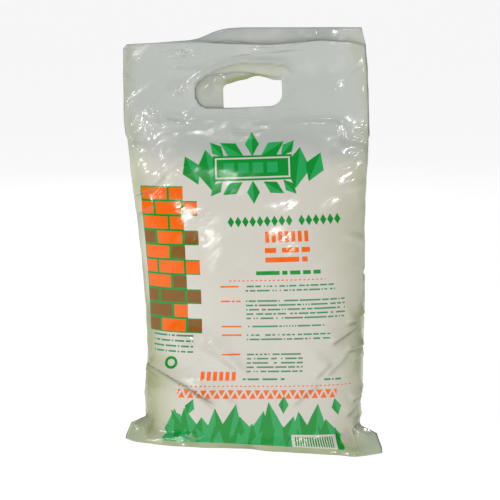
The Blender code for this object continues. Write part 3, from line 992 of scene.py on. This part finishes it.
# %% [markdown]
# ## The cement
# The solid model's filling is a plain loft. Powder takes the shape of the bag that holds it, creases and
# all, so it is modelled again: the loft is remeshed into even cells, and every vertex that lies too near
# the film is drawn back inside it along the film's normal. That is enough nearly everywhere, but beside
# the two ears and at the weld the nearest film is a thin fold, and a few cells still cross it there. The
# top is left as poured, a low uneven heap.

# %% Fit the filling inside the film
CEMENT_CELL = 0.0042
CEMENT_CLEARANCE = 0.0012
DRAW_PASSES = 3
HEAP_FROM, HEAP_TO = 0.262, 0.274       # heights between which the top's unevenness fades in


def cement_fill():
    """The filling as one closed mesh, drawn back behind the film."""
    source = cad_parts["cement_fill"]
    shape = bmesh.new()
    shape.from_mesh(source.data)
    bmesh.ops.remove_doubles(shape, verts=shape.verts, dist=1e-5)
    made = to_object(shape, "cement_fill_powder")
    cells = made.modifiers.new("Cells", "REMESH")
    cells.mode, cells.voxel_size = "VOXEL", CEMENT_CELL
    apply_modifiers(made)
    skin = bmesh.new()
    skin.from_mesh(film.data)
    tree = BVHTree.FromBMesh(skin)
    shape = bmesh.new()
    shape.from_mesh(made.data)
    for _ in range(DRAW_PASSES):
        drawn = 0
        for vert in shape.verts:
            spot, normal, _, _ = tree.find_nearest(vert.co)
            depth = (spot - vert.co).dot(normal)
            if depth < CEMENT_CLEARANCE:
                vert.co += normal * (depth - CEMENT_CLEARANCE)
                drawn += 1
        bmesh.ops.smooth_vert(shape, verts=shape.verts, factor=0.15, use_axis_x=True, use_axis_y=True,
                              use_axis_z=True)
    for vert in shape.verts:
        heap = 2.2 * noise.noise(vert.co * 30.0) + 0.8 * noise.noise(vert.co * 90.0)
        vert.co.z += heap * MM * float(ease(HEAP_FROM, HEAP_TO, vert.co.z))
    skin.free()
    shape.to_mesh(made.data)
    shape.free()
    for face in made.data.polygons:
        face.use_smooth = True
    print("cement cells", len(made.data.polygons), "drawn back at the last pass", drawn)
    return made


cement = cement_fill()

# %% [markdown]
# ## Shader sums as Python
# A node tree is a sum written with boxes. This small class wraps one socket, so that the sums for the
# print can be written as they would be on paper; each operator adds the Math node that does it.

# %% A socket with arithmetic
def operator(operation, reflected=False):
    """A method that adds one Math node."""
    def apply(self, *others):
        return self.math(operation, *((*others, self) if reflected else (self, *others)))
    return apply


class Value:
    """One socket of a material, with the operators that add Math nodes."""

    def __init__(self, maker, socket):
        self.maker, self.socket = maker, socket

    def math(self, operation, *values):
        """Adds a Math node with these inputs."""
        return self.maker.node("ShaderNodeMath", {"operation": operation}, values)

    __add__ = __radd__ = operator("ADD")
    __mul__ = __rmul__ = operator("MULTIPLY")
    __sub__, __rsub__ = operator("SUBTRACT"), operator("SUBTRACT", reflected=True)
    __truediv__, __pow__ = operator("DIVIDE"), operator("POWER")
    __lt__, __gt__ = operator("LESS_THAN"), operator("GREATER_THAN")
    __abs__, floor, fraction = operator("ABSOLUTE"), operator("FLOOR"), operator("FRACT")


class Maker:
    """Builds the node tree of one material."""

    def __init__(self, name):
        self.material = bpy.data.materials.new(name)
        self.material.use_nodes = True
        self.tree = self.material.node_tree
        self.shader = self.tree.nodes["Principled BSDF"]

    def node(self, kind, settings=None, inputs=(), output=0):
        """Adds a node: its settings first, then its inputs by place or by name. Returns an output."""
        made = self.tree.nodes.new(kind)
        for name, value in (settings or {}).items():
            setattr(made, name, value)
        pairs = inputs.items() if isinstance(inputs, dict) else enumerate(inputs)
        for key, value in pairs:
            self.feed(made.inputs[key], value)
        return Value(self, made.outputs[output])

    def feed(self, socket, value):
        """Links a value to a socket, or sets the number there."""
        if isinstance(value, Value):
            self.tree.links.new(value.socket, socket)
        else:
            socket.default_value = value

    def mix(self, low, high, share):
        """Blends two colours."""
        settings = {"data_type": "RGBA", "clamp_factor": True}
        return self.node("ShaderNodeMix", settings, {0: share, 6: low, 7: high}, output=2)

    def noise(self, place, scale, detail=2.0, rough=0.5, distortion=0.0):
        """Gradient noise from 0 to 1."""
        values = {"Vector": place, "Scale": scale, "Detail": detail, "Roughness": rough}
        values["Distortion"] = distortion
        return self.node("ShaderNodeTexNoise", {"noise_dimensions": "3D"}, values, output="Fac")

    def ramp(self, value, low, high):
        """0 at low, 1 at high, straight between and clamped."""
        values = {0: value, 1: low, 2: high, 3: 0.0, 4: 1.0}
        return self.node("ShaderNodeMapRange", {"clamp": True}, values)

    def bump(self, height, strength, distance, normal=None):
        """A bump from a height, on top of another normal."""
        values = {"Strength": strength, "Distance": distance, "Height": height}
        if normal is not None:
            values["Normal"] = normal
        return self.node("ShaderNodeBump", None, values, output="Normal")

    def coordinates(self, uv_map):
        """Across and up the flat film in millimetres, and the place in space."""
        spot = self.node("ShaderNodeUVMap", {"uv_map": uv_map}, ())
        parts = self.node("ShaderNodeSeparateXYZ", None, [spot])
        up = Value(self, parts.socket.node.outputs[1])
        place = self.node("ShaderNodeTexCoord", None, (), output="Object")
        return parts * 1000.0, up * 1000.0, place


def ink(red, green, blue):
    """A colour given as it would be picked from a screen, as the linear colour that a shader takes."""
    channels = [c / 255.0 for c in (red, green, blue)]
    return (*(c / 12.92 if c <= 0.04045 else ((c + 0.055) / 1.055) ** 2.4 for c in channels), 1.0)


GREEN, PALE_GREEN, ORANGE = ink(0, 142, 48), ink(40, 164, 88), ink(242, 102, 0)
SMALL_GREEN, BROWN = ink(62, 140, 100), ink(128, 84, 10)
PLAIN_FILM, EMPTY_FILM, BRIGHT_FILM = ink(210, 206, 195), ink(180, 184, 179), ink(222, 218, 208)
OLIVE_FILM, EAR_FILM, LIP_FILM = ink(154, 164, 104), ink(184, 196, 176), ink(166, 170, 170)
DEEP_OLIVE, RIM_SHADOW = ink(122, 134, 62), ink(92, 98, 88)
CREASE_SHADOW, GROOVE_SHADOW = ink(112, 118, 84), ink(104, 110, 78)

# %% [markdown]
# ## The print
# The bag is printed before it is filled, so the print belongs to the flat film. Every form is a mask: 1
# inside, 0 outside. A bar is two distances, a diamond is a sum of two, and a line of small type is a bar
# cut into words by white noise. The forms are plain ones: a course of bars for each line of type, brick
# work at the left, a plate with diamonds above, and a range of faceted peaks along the foot.

# %% Forms of the print
def bar(u, v, left, right, bottom, top):
    """A rectangle."""
    wide, tall = (right - left) / 2.0, (top - bottom) / 2.0
    return (abs(u - (left + wide)) < wide) * (abs(v - (bottom + tall)) < tall)


def cells(maker, u, v, share, seed):
    """White noise on whole numbers of u and v: 1 in that share of the cells."""
    spot = maker.node("ShaderNodeCombineXYZ", None, [u.floor(), v.floor(), seed])
    return maker.node("ShaderNodeTexWhiteNoise", {"noise_dimensions": "3D"}, [spot]) < share


def type_lines(maker, u, v, left, right, bottom, lines, pitch, height, letter, seed, full=0.80):
    """Lines of small type, shown as words without letters."""
    row = (v - bottom) / pitch
    words = cells(maker, (u - left) / letter, row, full, seed)
    return bar(u, v, left, right, bottom, bottom + lines * pitch) * (row.fraction() < height / pitch) * words


def course(u, v, left, right, bottom, height, block, gap):
    """A row of equal blocks with gaps, like a course of brick."""
    across = (u - left) / block
    return bar(u, v, left, right, bottom, bottom + height) * (across.fraction() < 1.0 - gap / block)


def lozenges(u, v, left, right, bottom, height, pitch):
    """A row of lozenges that stand side by side, like a woven border."""
    away = abs(((u - left) / pitch).fraction() - 0.5) * 2.2
    away = away + abs(v - (bottom + height / 2.0)) / (height / 2.0)
    return bar(u, v, left, right, bottom, bottom + height) * (away < 1.0)


def zigzag(u, v, left, right, bottom, height, pitch):
    """A band of triangles that point up and down by turns."""
    share = ((u - left) / pitch).fraction()
    slope = 1.0 - abs(share * 2.0 - 1.0)
    away = abs((v - bottom) / height - slope)
    return bar(u, v, left, right, bottom, bottom + height) * (away > 0.26)


def turned(u, v, centre_u, centre_v, degrees):
    """Coordinates round a centre, turned."""
    c, s = math.cos(math.radians(degrees)), math.sin(math.radians(degrees))
    across, up = u - centre_u, v - centre_v
    return across * c + up * s, up * c - across * s


def diamond(u, v, centre_u, centre_v, wide, tall, degrees=0.0):
    """A diamond, and its lighter half."""
    across, up = turned(u, v, centre_u, centre_v, degrees)
    mask = abs(across) / wide + abs(up) / tall < 1.0
    return mask, mask * (across > 0.0)


def dots(u, v, left, right, height, pitch):
    """A dotted rule."""
    return bar(u, v, left, right, height - 0.55, height + 0.55) * (((u - left) / pitch).fraction() < 0.48)


def ring(u, v, centre_u, centre_v, outer, inner):
    """A plain ring."""
    away = (u - centre_u) * (u - centre_u) + (v - centre_v) * (v - centre_v)
    return (away < outer * outer) * (away > inner * inner)


# %% [markdown]
# ## Where the print stands
# On the real bag each ink has its own printing plate. Here each form takes a colour and is laid over the
# ones before it. The masks could also be gathered for each ink and mixed at the end, but the renderer can
# only hold so many unfinished sums at a time, so each is joined to the picture at once.

# %% Lay out the print
WELD_V = float(HEIGHTS[2 * WELD_ROW]) + 0.6     # the print ends just above the weld
PLATE_V = 262               # height of the plate's middle
# across, half height, degrees
LARGE_DIAMONDS = [(62, 15, 24), (78, 20, 8), (161, 20, -8), (177, 15, -24)]
# across, up, half height, degrees
SMALL_DIAMONDS = [
    (100, 281, 13, 58), (138, 281, 13, -58), (100, 244, 11, -58), (138, 244, 11, 58), (119, 286, 12, 0),
    (119, 240, 11, 0), (86, 281, 10, 40), (152, 281, 10, -40), (85, 244, 9, -40), (153, 244, 9, 40),
]
# bottom, lines, right end, seed
TYPE_BLOCKS = [(149.0, 2, 190.0, 11.0), (123.5, 5, 199.0, 12.0), (116.0, 1, 180.0, 13.0),
               (104.0, 2, 184.0, 14.0), (74.0, 5, 158.0, 15.0)]
BRICK_LONG, BRICK_TALL = 26.0, 13.5
# rows of crystals from the rear: shift, pitch, foot, half width, least and greatest height, tilt, seed
CRYSTAL_ROWS = [
    (0.0, 38.0, 20.0, 10.0, 18.0, 29.0, 0.5, 2.0), (13.0, 38.0, 17.0, 9.5, 16.0, 27.0, 0.6, 5.0),
    (25.0, 38.0, 15.0, 10.5, 14.0, 25.0, 0.6, 9.0), (6.0, 33.0, 8.0, 9.5, 10.0, 18.0, 0.7, 12.0),
    (17.0, 33.0, 6.0, 10.0, 9.0, 16.0, 0.8, 17.0), (28.0, 33.0, 7.0, 9.0, 10.0, 15.0, 0.8, 21.0),
]
LOOSE_CRYSTALS = [(46, 30, 35), (58, 40, -20), (142, 43, 0), (190, 40, 12)]     # across, up, degrees


def crystals(maker, u, v, middle, reach, pitch, foot, wide, low, high, tilt, seed):
    """A row of faceted crystals, each in its own cell and tilted its own way, and their lit halves."""
    across = u / pitch
    spot = maker.node("ShaderNodeCombineXYZ", None, [across.floor(), seed, 0.0])
    chance = maker.node("ShaderNodeTexWhiteNoise", {"noise_dimensions": "3D"}, [spot])
    tall = chance * (high - low) + low
    lean = ((chance * 7.0).fraction() - 0.5) * tilt
    up = v - foot
    local = (across.fraction() - 0.5) * pitch - up * lean
    mask = abs(local) / wide + abs(up) / tall < 1.0
    mask = mask * (abs((across.floor() + 0.5) * pitch - middle) < reach)
    return mask, mask * (local > 0.0)


def add_print(maker, u, v, film_colour):
    """The whole print over the film's own colour."""
    on_front = (u < FLAT_MIDDLE) * (v > WELD_V)
    picture = film_colour

    def lay(colour, mask):
        nonlocal picture
        picture = maker.mix(picture, colour, mask * on_front)

    def lay_two(colours, masks):
        for colour, mask in zip(colours, masks):
            lay(colour, mask)

    # lines of type lean up to the right, less so lower down
    lean = maker.ramp(v, 60.0, 230.0) * 0.030
    level = v - (u - 115.0) * lean
    # a plate with a pale inner line, and diamonds in two greens beside it
    for across, size, tilt in LARGE_DIAMONDS:
        lay_two((GREEN, PALE_GREEN), diamond(u, level, across, PLATE_V, size * 0.62, size, tilt))
    for across, up, size, tilt in SMALL_DIAMONDS:
        lay_two((PALE_GREEN, GREEN), diamond(u, level, across, up, size * 0.55, size, tilt))
    lay(GREEN, bar(u, level, 82.0, 156.0, 251.0, 275.0))
    lay(PLAIN_FILM, bar(u, level, 84.0, 154.0, 253.0, 273.0))
    lay(GREEN, bar(u, level, 85.5, 152.5, 254.5, 271.5))
    lay(PALE_GREEN, course(u, level, 92.0, 146.0, 258.0, 10.0, 13.5, 3.5))
    # headings, as woven borders
    lay(GREEN, lozenges(u, level, 93.4, 153.7, 208.0, 10.0, 6.7))
    lay(GREEN, lozenges(u, level, 158.6, 198.8, 208.0, 10.0, 6.7))
    lay(ORANGE, course(u, level, 127.5, 168.5, 193.5, 10.0, 6.0, 2.4))
    lay(ORANGE, type_lines(maker, u, level, 126.5, 168.1, 175.5, 2, 8.6, 4.6, 2.6, 3.0, 0.86))
    lay(GREEN, type_lines(maker, u, level, 115.0, 177.0, 164.0, 1, 5.0, 3.6, 2.4, 5.0, 0.84))
    lay(ORANGE, dots(u, level, 92.5, 181.5, 159.0, 4.0))
    # small type with orange labels at its left
    for bottom, lines, right, seed in TYPE_BLOCKS:
        lay(SMALL_GREEN, type_lines(maker, u, level, 107.0, right, bottom, lines, 4.0, 1.5, 1.3, seed))
        label_v = bottom + (lines - 1) * 4.0
        lay(ORANGE, type_lines(maker, u, level, 84.0, 102.2, label_v, 1, 4.0, 1.5, 1.4, seed + 20.0, 0.90))
    lay(SMALL_GREEN, type_lines(maker, u, level, 18.0, 58.0, 92.0, 4, 5.0, 1.7, 1.5, 16.0))
    lay(GREEN, ring(u, level, 38.0, 82.0, 6.0, 3.4))
    # the weight line, the rules and the orange line across the foot
    lay(ORANGE, course(u, v, 66.0, 98.0, 66.0, 8.5, 5.6, 2.0))
    lay(SMALL_GREEN, type_lines(maker, u, v, 104.0, 142.0, 66.5, 1, 4.0, 1.8, 1.5, 17.0))
    lay(SMALL_GREEN, type_lines(maker, u, v, 178.0, 194.0, 65.5, 1, 4.0, 1.8, 1.5, 18.0))
    lay(ORANGE, dots(u, v, 46.0, 204.0, 60.8, 4.0))
    lay(ORANGE, zigzag(u, v, 46.0, 190.0, 49.0, 8.0, 8.0))
    # brick work at the left, toothed at its right end as if more were to be laid
    row = (v - 110.0) / BRICK_TALL
    across = u / BRICK_LONG + row.floor() * 0.5
    toothed = (row.floor() * 0.5).fraction() * BRICK_LONG
    area = bar(u, v, 13.0, 66.0, 110.0, 245.0) * (u < 66.0 - toothed)
    brick = (across.fraction() > 0.045) * (across.fraction() < 0.955) * (abs(row.fraction() - 0.5) < 0.42)
    lay(GREEN, area)
    lay(ORANGE, area * brick)
    lay(BROWN, area * brick * cells(maker, across, row, 0.30, 4.0))
    # crystals along the foot, the low ones in front, and a few loose ones above
    for number, (shift, *shape) in enumerate(CRYSTAL_ROWS):
        colours = (PALE_GREEN, GREEN) if number % 2 else (GREEN, PALE_GREEN)
        lay_two(colours, crystals(maker, u + shift, v, 119.0 + shift, 76.0, *shape))
    for across, up, tilt in LOOSE_CRYSTALS:
        lay_two((GREEN, PALE_GREEN), diamond(u, v, across, up, 4.6, 8.5, tilt))
    # a plain striped box
    lay(PLAIN_FILM, bar(u, v, 149.0, 189.0, 4.0, 15.5))
    lay(GREEN, course(u, v, 152.0, 186.0, 6.0, 7.5, 2.2, 1.0))
    return picture


# %% [markdown]
# ## The film's finish
# The film is low density polyethylene, milky and glossy. Long soft waves run all over it, and a fine
# crinkle comes and goes in patches. A photograph wrapped round it would bring its own light along, so both
# are noises drawn out along a slant, and the crinkle is scaled by the attribute painted above. The creases
# that the eye picks out are a list of lines. Their slopes stay gentle, because a steep one turns away from
# every lamp and shows as a dark scratch.

# %% Fine creases, on the flat film in millimetres
# from u, v to u, v, half width, height; a negative height is a groove
FINE_CREASES = [
    # the fan at the lower left
    (0, 80, 28, 72, 1.2, -1.0), (20, 76, 54, 60, 1.3, -1.0), (46, 64, 84, 41, 1.3, -0.9),
    (0, 79, 17, 60, 1.1, -0.9), (4, 76, 32, 64, 1.0, -0.6), (8, 72, 26, 58, 1.0, -0.5),
    (12, 82, 40, 76, 1.0, 0.6), (30, 72, 52, 66, 0.9, 0.6), (36, 60, 62, 48, 1.0, -0.5),
    (58, 57, 80, 49, 0.9, 0.6), (62, 50, 88, 34, 1.0, -0.5), (14, 52, 30, 40, 1.0, -0.4),
    (4, 66, 12, 50, 0.9, 0.5), (56, 100, 82, 84, 1.1, 0.9), (60, 94, 100, 70, 1.1, 0.9),
    (72, 104, 112, 68, 1.0, 0.7), (84, 52, 104, 40, 1.0, 0.8), (50, 108, 66, 100, 0.9, 0.5),
    # the folds at the right
    (196, 114, 230, 126, 1.2, -0.9), (184, 97, 218, 116, 1.2, -0.8), (194, 89, 230, 97, 1.2, -0.9),
    (206, 79, 228, 93, 1.1, -0.7), (204, 41, 230, 59, 1.2, -0.9), (198, 27, 226, 51, 1.2, -0.8),
    (206, 11, 228, 33, 1.1, -0.8), (188, 58, 218, 77, 1.0, 0.6), (210, 66, 230, 73, 1.0, -0.5),
    (209, 0, 209, 27, 1.4, -0.8), (21, 0, 21, 27, 1.4, -0.5), (212, 132, 230, 140, 1.0, -0.5),
    (204, 104, 228, 112, 1.0, 0.6), (200, 34, 224, 56, 0.9, 0.6), (178, 40, 200, 58, 0.9, 0.4),
    (216, 152, 230, 162, 1.0, -0.6), (214, 172, 230, 163, 1.0, -0.5),
    # the empty top, where the film glints
    (42, 371, 60, 366, 0.9, 1.0), (49, 375, 56, 363, 0.9, 0.9), (55, 373, 63, 367, 0.8, 0.9),
    (45, 366, 53, 363, 0.8, 0.7), (47, 330, 57, 336, 1.0, 1.0), (50, 336, 55, 328, 0.9, 0.8),
    (32, 312, 54, 305, 1.2, 1.0), (48, 305, 70, 322, 1.1, 1.0), (38, 317, 58, 311, 1.0, 0.8),
    (42, 302, 50, 313, 0.9, 0.8), (90, 298, 114, 290, 1.1, 0.9), (110, 292, 136, 301, 1.1, 0.9),
    (98, 301, 120, 298, 0.9, 0.8), (116, 303, 138, 305, 0.9, 0.9), (212, 304, 229, 290, 1.1, 1.0),
    (219, 300, 227, 298, 0.8, 0.6), (4, 291, 14, 278, 1.1, 0.9), (3, 284, 9, 275, 0.9, 0.7),
    (96, 316, 122, 313, 1.0, 0.5), (150, 322, 163, 316, 1.0, 0.7), (148, 375, 178, 379, 0.9, 0.8),
    (92, 366, 134, 372, 1.0, -0.7), (124, 371, 178, 373, 0.9, -0.7), (110, 375, 150, 377, 0.8, 0.6),
    # the shoulders and the body
    (57, 283, 24, 247, 1.3, 0.9), (53, 267, 26, 246, 1.1, 0.8), (72, 268, 34, 242, 1.2, 0.5),
    (44, 196, 83, 224, 1.2, 0.9), (36, 214, 60, 232, 1.0, 0.5), (20, 226, 48, 258, 1.1, 0.5),
    (196, 262, 229, 285, 1.1, 0.6), (188, 236, 229, 252, 1.1, 0.5), (200, 201, 230, 187, 1.0, 0.5),
    (94, 96, 128, 150, 1.3, 0.35), (106, 98, 138, 146, 1.2, 0.3), (0, 216, 22, 222, 1.1, -0.6),
    (0, 232, 26, 242, 1.1, -0.6),
]
RIDGE_SHARE = 0.5           # ridges are gentler than grooves, so that their sides catch the lamps


def fine_creases(maker, u, v):
    """The sum of the fine creases: each is a long narrow cone on the flat film, the same on both panels."""
    spot = maker.node("ShaderNodeCombineXYZ", None, [FLAT_MIDDLE - abs(u - FLAT_MIDDLE), v, 0.0])
    total = 0.0
    for from_u, from_v, to_u, to_v, wide, height in FINE_CREASES:
        place = {"Vector": spot, "Location": ((from_u + to_u) / 2.0, (from_v + to_v) / 2.0, 0.0),
                 "Rotation": (0.0, 0.0, math.atan2(to_v - from_v, to_u - from_u)),
                 "Scale": (math.hypot(to_u - from_u, to_v - from_v) / 2.0, wide, 1.0)}
        local = maker.node("ShaderNodeMapping", {"vector_type": "TEXTURE"}, place)
        cone = maker.node("ShaderNodeTexGradient", {"gradient_type": "SPHERICAL"}, [local], output="Fac")
        total = cone * (height * RIDGE_SHARE if height > 0.0 else height) + total
    return total


# %% Film material
# degrees of slant, noise seed
WAVES, FACETS, CRESTS = (40.0, 80.0), ((44.0, 120.0), (14.0, 160.0)), ((32.0, 0.0), (-24.0, 40.0))


def slanted(maker, u, v, along, aside, degrees, seed):
    """A place for noise that is drawn out along a slant of the flat film."""
    across, up = turned(u, v, 0.0, 0.0, degrees)
    return maker.node("ShaderNodeCombineXYZ", None, [across * along, up * aside, seed])


def film_finish():
    """Milky printed film."""
    maker = Maker("printed_film")
    u, v, place = maker.coordinates("flat")
    tone = maker.node("ShaderNodeAttribute", {"attribute_name": "tone"}, (), output="Color")
    parts = maker.node("ShaderNodeSeparateColor", None, [tone])
    filled, olive, crease = (Value(maker, parts.socket.node.outputs[i]) for i in range(3))
    mottle = maker.noise(place, 22.0, 3.0, 0.55)
    film_colour = maker.mix(EMPTY_FILM, PLAIN_FILM, filled)
    film_colour = maker.mix(film_colour, EAR_FILM, (1.0 - filled) * maker.ramp(v, 60.0, 20.0))
    # olive of film seen edge on, partly painted shade and reflected tint, and darker still where it is
    # strongest
    film_colour = maker.mix(film_colour, OLIVE_FILM, olive * (mottle * 0.8 + 0.35))
    film_colour = maker.mix(film_colour, DEEP_OLIVE, maker.ramp(olive, 0.60, 0.92) * 0.45)
    film_colour = maker.mix(film_colour, LIP_FILM, maker.ramp(v, 373.0, 379.0) * (u > FLAT_MIDDLE))
    film_colour = maker.mix(film_colour, BRIGHT_FILM, maker.ramp(mottle, 0.52, 0.75) * 0.35)
    picture = add_print(maker, u, v, film_colour)
    rim = Value(maker, tone.socket.node.outputs["Alpha"])
    picture = maker.mix(picture, RIM_SHADOW, maker.ramp(rim, 0.55, 0.80) * 0.60)
    picture = maker.mix(picture, CREASE_SHADOW, crease * 0.75)
    creased = fine_creases(maker, u, v)
    picture = maker.mix(picture, GROOVE_SHADOW, maker.ramp(0.0 - creased, 0.10, 0.90) * 0.50)
    maker.feed(maker.shader.inputs["Base Color"], picture)
    crumpled = maker.node("ShaderNodeAttribute", {"attribute_name": "crumpled"}, (), output="Fac")
    crumpled = crumpled * maker.ramp(maker.noise(place, 40.0, 2.0), 0.36, 0.62)
    waves = maker.noise(slanted(maker, u, v, 0.016, 0.085, *WAVES), 1.0, 3.0, 0.5, 0.8)
    normal = maker.bump(waves, 0.50, 0.0006)
    for values in FACETS:
        facets = maker.noise(slanted(maker, u, v, 0.045, 0.26, *values), 1.0, 1.0, 0.5, 0.4)
        normal = maker.bump(facets * crumpled, 0.9, 0.0008, normal)
    for values in CRESTS:
        level = maker.noise(slanted(maker, u, v, 0.045, 0.24, *values), 1.0, 2.0, 0.5, 0.6)
        crest = (1.0 - abs(level * 2.0 - 1.0)) ** 4.0
        normal = maker.bump(crest * crumpled, 0.9, 0.00016, normal)
    normal = maker.bump(creased, 0.9, 0.0006, normal)
    maker.feed(maker.shader.inputs["Normal"], normal)
    maker.feed(maker.shader.inputs["Roughness"], maker.noise(place, 45.0, 2.0) * 0.18 + 0.04)
    maker.shader.inputs["IOR"].default_value = 1.50
    maker.shader.inputs["Specular IOR Level"].default_value = 0.50
    return maker.material


# %% [markdown]
# ## The cement's finish
# White cement is a matt powder that clumps. It shows only if the film is taken off, and it is finished
# all the same: a warm white with faint grey clouds, and the small lumps of a settled powder.

# %% Cement material
def cement_finish():
    """White powder with small lumps."""
    maker = Maker("white_cement")
    place = maker.node("ShaderNodeTexCoord", None, (), output="Object")
    clouds = maker.noise(place, 24.0, 4.0, 0.6)
    lumps = maker.noise(place, 210.0, 3.0, 0.6)
    grains = maker.noise(place, 1400.0, 2.0, 0.7)
    colour = maker.mix(ink(226, 223, 214), ink(241, 239, 233), maker.ramp(clouds, 0.35, 0.65))
    colour = maker.mix(colour, ink(205, 202, 194), maker.ramp(lumps, 0.60, 0.80) * 0.5)
    maker.feed(maker.shader.inputs["Base Color"], colour)
    normal = maker.bump(lumps, 0.6, 0.0012)
    maker.feed(maker.shader.inputs["Normal"], maker.bump(grains, 0.4, 0.0003, normal))
    maker.feed(maker.shader.inputs["Roughness"], clouds * 0.1 + 0.86)
    return maker.material


film.data.materials.clear()
film.data.materials.append(film_finish())
cement.data.materials.clear()
cement.data.materials.append(cement_finish())
print("film nodes", len(bpy.data.materials["printed_film"].node_tree.nodes))

# %% [markdown]
# ## Floor, light and camera
# The photograph is a cut-out on white, taken from a little above with a flash and soft room light. A wide
# pale floor runs past the edge of the picture, so no horizon shows. A key lamp at the left and a broad one
# above do the work of the room. One flash would leave a single hot spot, so nine very small lamps, seven
# in front and two behind, give the film its sparks.

# %% Stage
FLOOR_SIZE = 60.0
CAMERA_TARGET = Vector((-0.002, 0.0, 0.187))
CAMERA_DISTANCE = 1.5
CAMERA_AZIMUTH, CAMERA_ELEVATION = math.radians(0.56), math.radians(10.0)
CAMERA_LENS = 116.3
FLOOR_COLOUR, FLOOR_GLOW, ROOM_LIGHT = (0.30, 0.30, 0.30, 1.0), 0.87, 0.15
WHITE = (1.0, 1.0, 1.0, 1.0)
SPARK_SIZE = 0.05
# place, power
SPARKS = [((0.25, -1.80, 0.95), 2.3), ((-0.50, -1.80, 0.72), 2.3), ((-0.20, -1.60, 1.35), 1.0),
          ((-1.00, -1.50, 0.95), 2.3), ((0.80, -1.55, 0.85), 2.3), ((-0.40, -1.80, 0.36), 0.8),
          ((0.22, -1.85, 0.44), 0.8), ((-0.40, 1.80, 0.80), 2.5), ((0.60, 1.60, 1.20), 2.5)]


def floor():
    """A pale floor that reaches past the picture."""
    shape = bmesh.new()
    bmesh.ops.create_grid(shape, x_segments=1, y_segments=1, size=FLOOR_SIZE / 2.0)
    made = to_object(shape, "floor")
    maker = Maker("pale_floor")
    maker.shader.inputs["Base Color"].default_value = FLOOR_COLOUR
    maker.shader.inputs["Roughness"].default_value = 0.85
    maker.shader.inputs["Emission Color"].default_value = WHITE
    maker.shader.inputs["Emission Strength"].default_value = FLOOR_GLOW
    made.data.materials.append(maker.material)
    return made


def lamp(name, place, size, power):
    """A square lamp that looks at the bag."""
    light = bpy.data.lights.new(name, "AREA")
    light.size, light.energy = size, power
    made = bpy.data.objects.new(name, light)
    bpy.context.scene.collection.objects.link(made)
    made.location = place
    made.visible_camera = False
    made.rotation_euler = (CAMERA_TARGET - Vector(place)).to_track_quat("-Z", "Y").to_euler()
    return made


def camera():
    """The photograph's view."""
    made = bpy.data.objects.new("camera", bpy.data.cameras.new("camera"))
    bpy.context.scene.collection.objects.link(made)
    made.data.lens = CAMERA_LENS
    made.data.sensor_width = 36.0
    back = Vector((math.sin(CAMERA_AZIMUTH) * math.cos(CAMERA_ELEVATION),
                   -math.cos(CAMERA_AZIMUTH) * math.cos(CAMERA_ELEVATION), math.sin(CAMERA_ELEVATION)))
    made.location = CAMERA_TARGET + back * CAMERA_DISTANCE
    made.rotation_euler = back.to_track_quat("Z", "Y").to_euler()
    bpy.context.scene.camera = made
    return made


floor()
lamp("key", (-1.20, -0.85, 1.45), 0.40, 12.0)
lamp("top", (0.2, 0.3, 1.9), 0.9, 3.0)
for number, (place, power) in enumerate(SPARKS):
    lamp(f"spark_{number}", place, SPARK_SIZE, power)
world = bpy.data.worlds.new("studio")
bpy.context.scene.world = world
world.use_nodes = True
room = world.node_tree.nodes["Background"].inputs
room["Color"].default_value, room["Strength"].default_value = WHITE, ROOM_LIGHT
bpy.context.scene.view_settings.view_transform = "Standard"
camera()

# %% [markdown]
# ## The pieces and their solids
# Both pieces stand for their solids and stay with the bag's one body. The film is a sheet as well: a tube
# 460 mm round and 405 mm long, laid out in its flat UV map.

for piece, node, slot in ((film, "film_bag", "printed_film"), (cement, "cement_fill", "white_cement")):
    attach(piece, "root")
    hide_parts(node)
